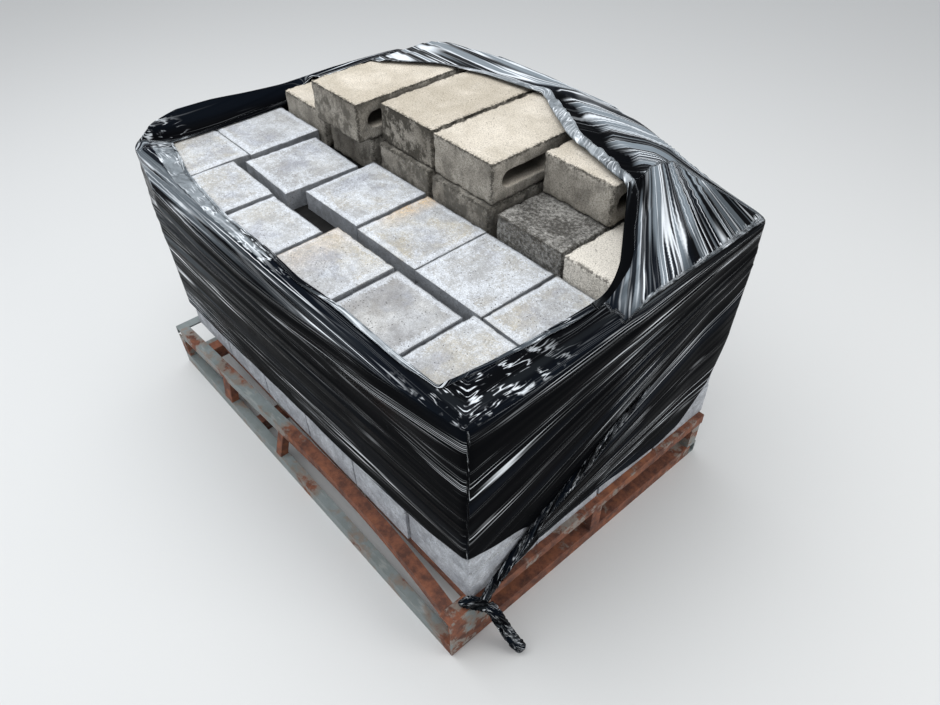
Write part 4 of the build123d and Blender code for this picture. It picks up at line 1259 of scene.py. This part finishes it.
class PALLET_OT_steel_finish(bpy.types.Operator):
    """Give the pallet's bars their worn paint and rust"""

    bl_idname = "pallet.steel_finish"
    bl_label = "Pallet finish"

    def execute(self, context):
        settings = context.scene.pallet_steel
        rusty = worn_steel("rusty_steel", settings, 0.625)
        patchy = worn_steel("patchy_steel", settings, 0.47, turn_x=0.0)
        painted = worn_steel("painted_steel", settings, 0.43)
        spotted = worn_steel("spotted_steel", settings, 0.54, scale=21.0)
        for name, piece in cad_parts.items():
            if not name.startswith("pallet_"):
                continue
            material = painted
            if any(word in name for word in RUSTY):
                material = rusty
            elif any(word in name for word in PATCHY):
                material = patchy
            elif "corner" in name:
                material = spotted
            piece.data.materials.clear()
            piece.data.materials.append(material)
        return {"FINISHED"}


# Stage


class StageSettings(bpy.types.PropertyGroup):
    floor: colour_value("Floor", "Colour of the floor", (0.70, 0.70, 0.69))
    azimuth: angle_value("Azimuth", "Camera angle round the load", 48.80)
    elevation: angle_value("Elevation", "Camera angle above the floor", 43.16)
    roll: angle_value("Roll", "Camera roll", 0.44)
    lens: plain_value("Lens", "Focal length", 28.65)


CAMERA_PLACE = (1.21805, -0.89182, 1.60811)
LOAD_MIDDLE = (0.0, 0.0, 0.4)
SKY_COLOUR, SKY_STRENGTH = (0.93, 0.96, 1.0, 1.0), 0.62
# Place, size, power and colour of each lamp
LAMPS = {
    "sky": ((-0.6, -0.6, 3.2), 3.4, 95.0, (0.95, 0.975, 1.0)),
    "side": ((3.2, 1.2, 2.2), 1.8, 34.0, (1.0, 0.99, 0.97)),
}


class PALLET_OT_photo_stage(bpy.types.Operator):
    """Set up the floor, the soft light and the camera"""

    bl_idname = "pallet.photo_stage"
    bl_label = "Stage"

    def execute(self, context):
        settings = context.scene.pallet_stage
        select_only()
        bpy.ops.mesh.primitive_plane_add(size=14.0, location=(0.0, 0.0, 0.0))
        floor = context.active_object
        floor.name = "floor"
        look = Finish("floor_finish")
        look.tone = (*settings.floor, 1.0)
        floor.data.materials.append(look.done(0.9, look.noise(60.0), 0.0002))

        for name, (place, size, power, colour) in LAMPS.items():
            data = bpy.data.lights.new(name, "AREA")
            data.shape = "SQUARE"
            data.size = size
            data.energy = power
            data.color = colour
            lamp = bpy.data.objects.new(name, data)
            lamp.location = place
            aim = Vector(LOAD_MIDDLE) - Vector(place)
            lamp.rotation_euler = aim.to_track_quat("-Z", "Y").to_euler()
            context.scene.collection.objects.link(lamp)

        world = bpy.data.worlds.new("plain_sky")
        world.use_nodes = True
        sky = world.node_tree.nodes["Background"].inputs
        sky["Color"].default_value = SKY_COLOUR
        sky["Strength"].default_value = SKY_STRENGTH
        context.scene.world = world

        away, up, roll = settings.azimuth, settings.elevation, settings.roll
        back = Vector((math.sin(away) * math.cos(up), -math.cos(away) * math.cos(up), math.sin(up)))
        right = (-back).cross(Vector((0, 0, 1))).normalized()
        down = (-back).cross(right)
        right, down = (
            right * math.cos(roll) + down * math.sin(roll),
            down * math.cos(roll) - right * math.sin(roll),
        )
        data = bpy.data.cameras.new("photo_camera")
        data.lens = settings.lens
        data.sensor_width = 36.0
        camera = bpy.data.objects.new("photo_camera", data)
        turn = Matrix((right, -down, back)).transposed().to_4x4()
        camera.matrix_world = Matrix.Translation(Vector(CAMERA_PLACE)) @ turn
        context.scene.collection.objects.link(camera)
        context.scene.camera = camera
        context.scene.view_settings.view_transform = "Standard"
        return {"FINISHED"}


class PALLET_PT_panel(bpy.types.Panel):
    bl_label = "Paver pallet"
    bl_space_type = "VIEW_3D"
    bl_region_type = "UI"
    bl_category = "Pallet"

    def draw(self, context):
        for name, operators in STEPS.items():
            box = self.layout.box()
            group = getattr(context.scene, name)
            for field in group.__annotations__:
                box.prop(group, field)
            for operator in operators:
                box.operator(operator.bl_idname)


GROUPS = {
    "pallet_pavers": PaverSettings,
    "pallet_blocks": BlockSettings,
    "pallet_film": FilmSettings,
    "pallet_tie": TieSettings,
    "pallet_steel": SteelSettings,
    "pallet_stage": StageSettings,
}
STEPS = {
    "pallet_stage": [PALLET_OT_photo_stage],
    "pallet_pavers": [PALLET_OT_top_pavers, PALLET_OT_lower_pavers],
    "pallet_blocks": [PALLET_OT_hollow_blocks],
    "pallet_film": [PALLET_OT_stretch_film],
    "pallet_tie": [PALLET_OT_film_tie],
    "pallet_steel": [PALLET_OT_steel_finish],
}


def register():
    for name, group in GROUPS.items():
        bpy.utils.register_class(group)
        setattr(bpy.types.Scene, name, bpy.props.PointerProperty(type=group))
    for operators in STEPS.values():
        for operator in operators:
            bpy.utils.register_class(operator)
    bpy.utils.register_class(PALLET_PT_panel)


def unregister():
    bpy.utils.unregister_class(PALLET_PT_panel)
    for operators in STEPS.values():
        for operator in operators:
            bpy.utils.unregister_class(operator)
    for name, group in GROUPS.items():
        delattr(bpy.types.Scene, name)
        bpy.utils.unregister_class(group)


def main():
    register()
    for operators in STEPS.values():
        for operator in operators:
            group, name = operator.bl_idname.split(".")
            getattr(getattr(bpy.ops, group), name)()


if __name__ == "__main__":
    main()
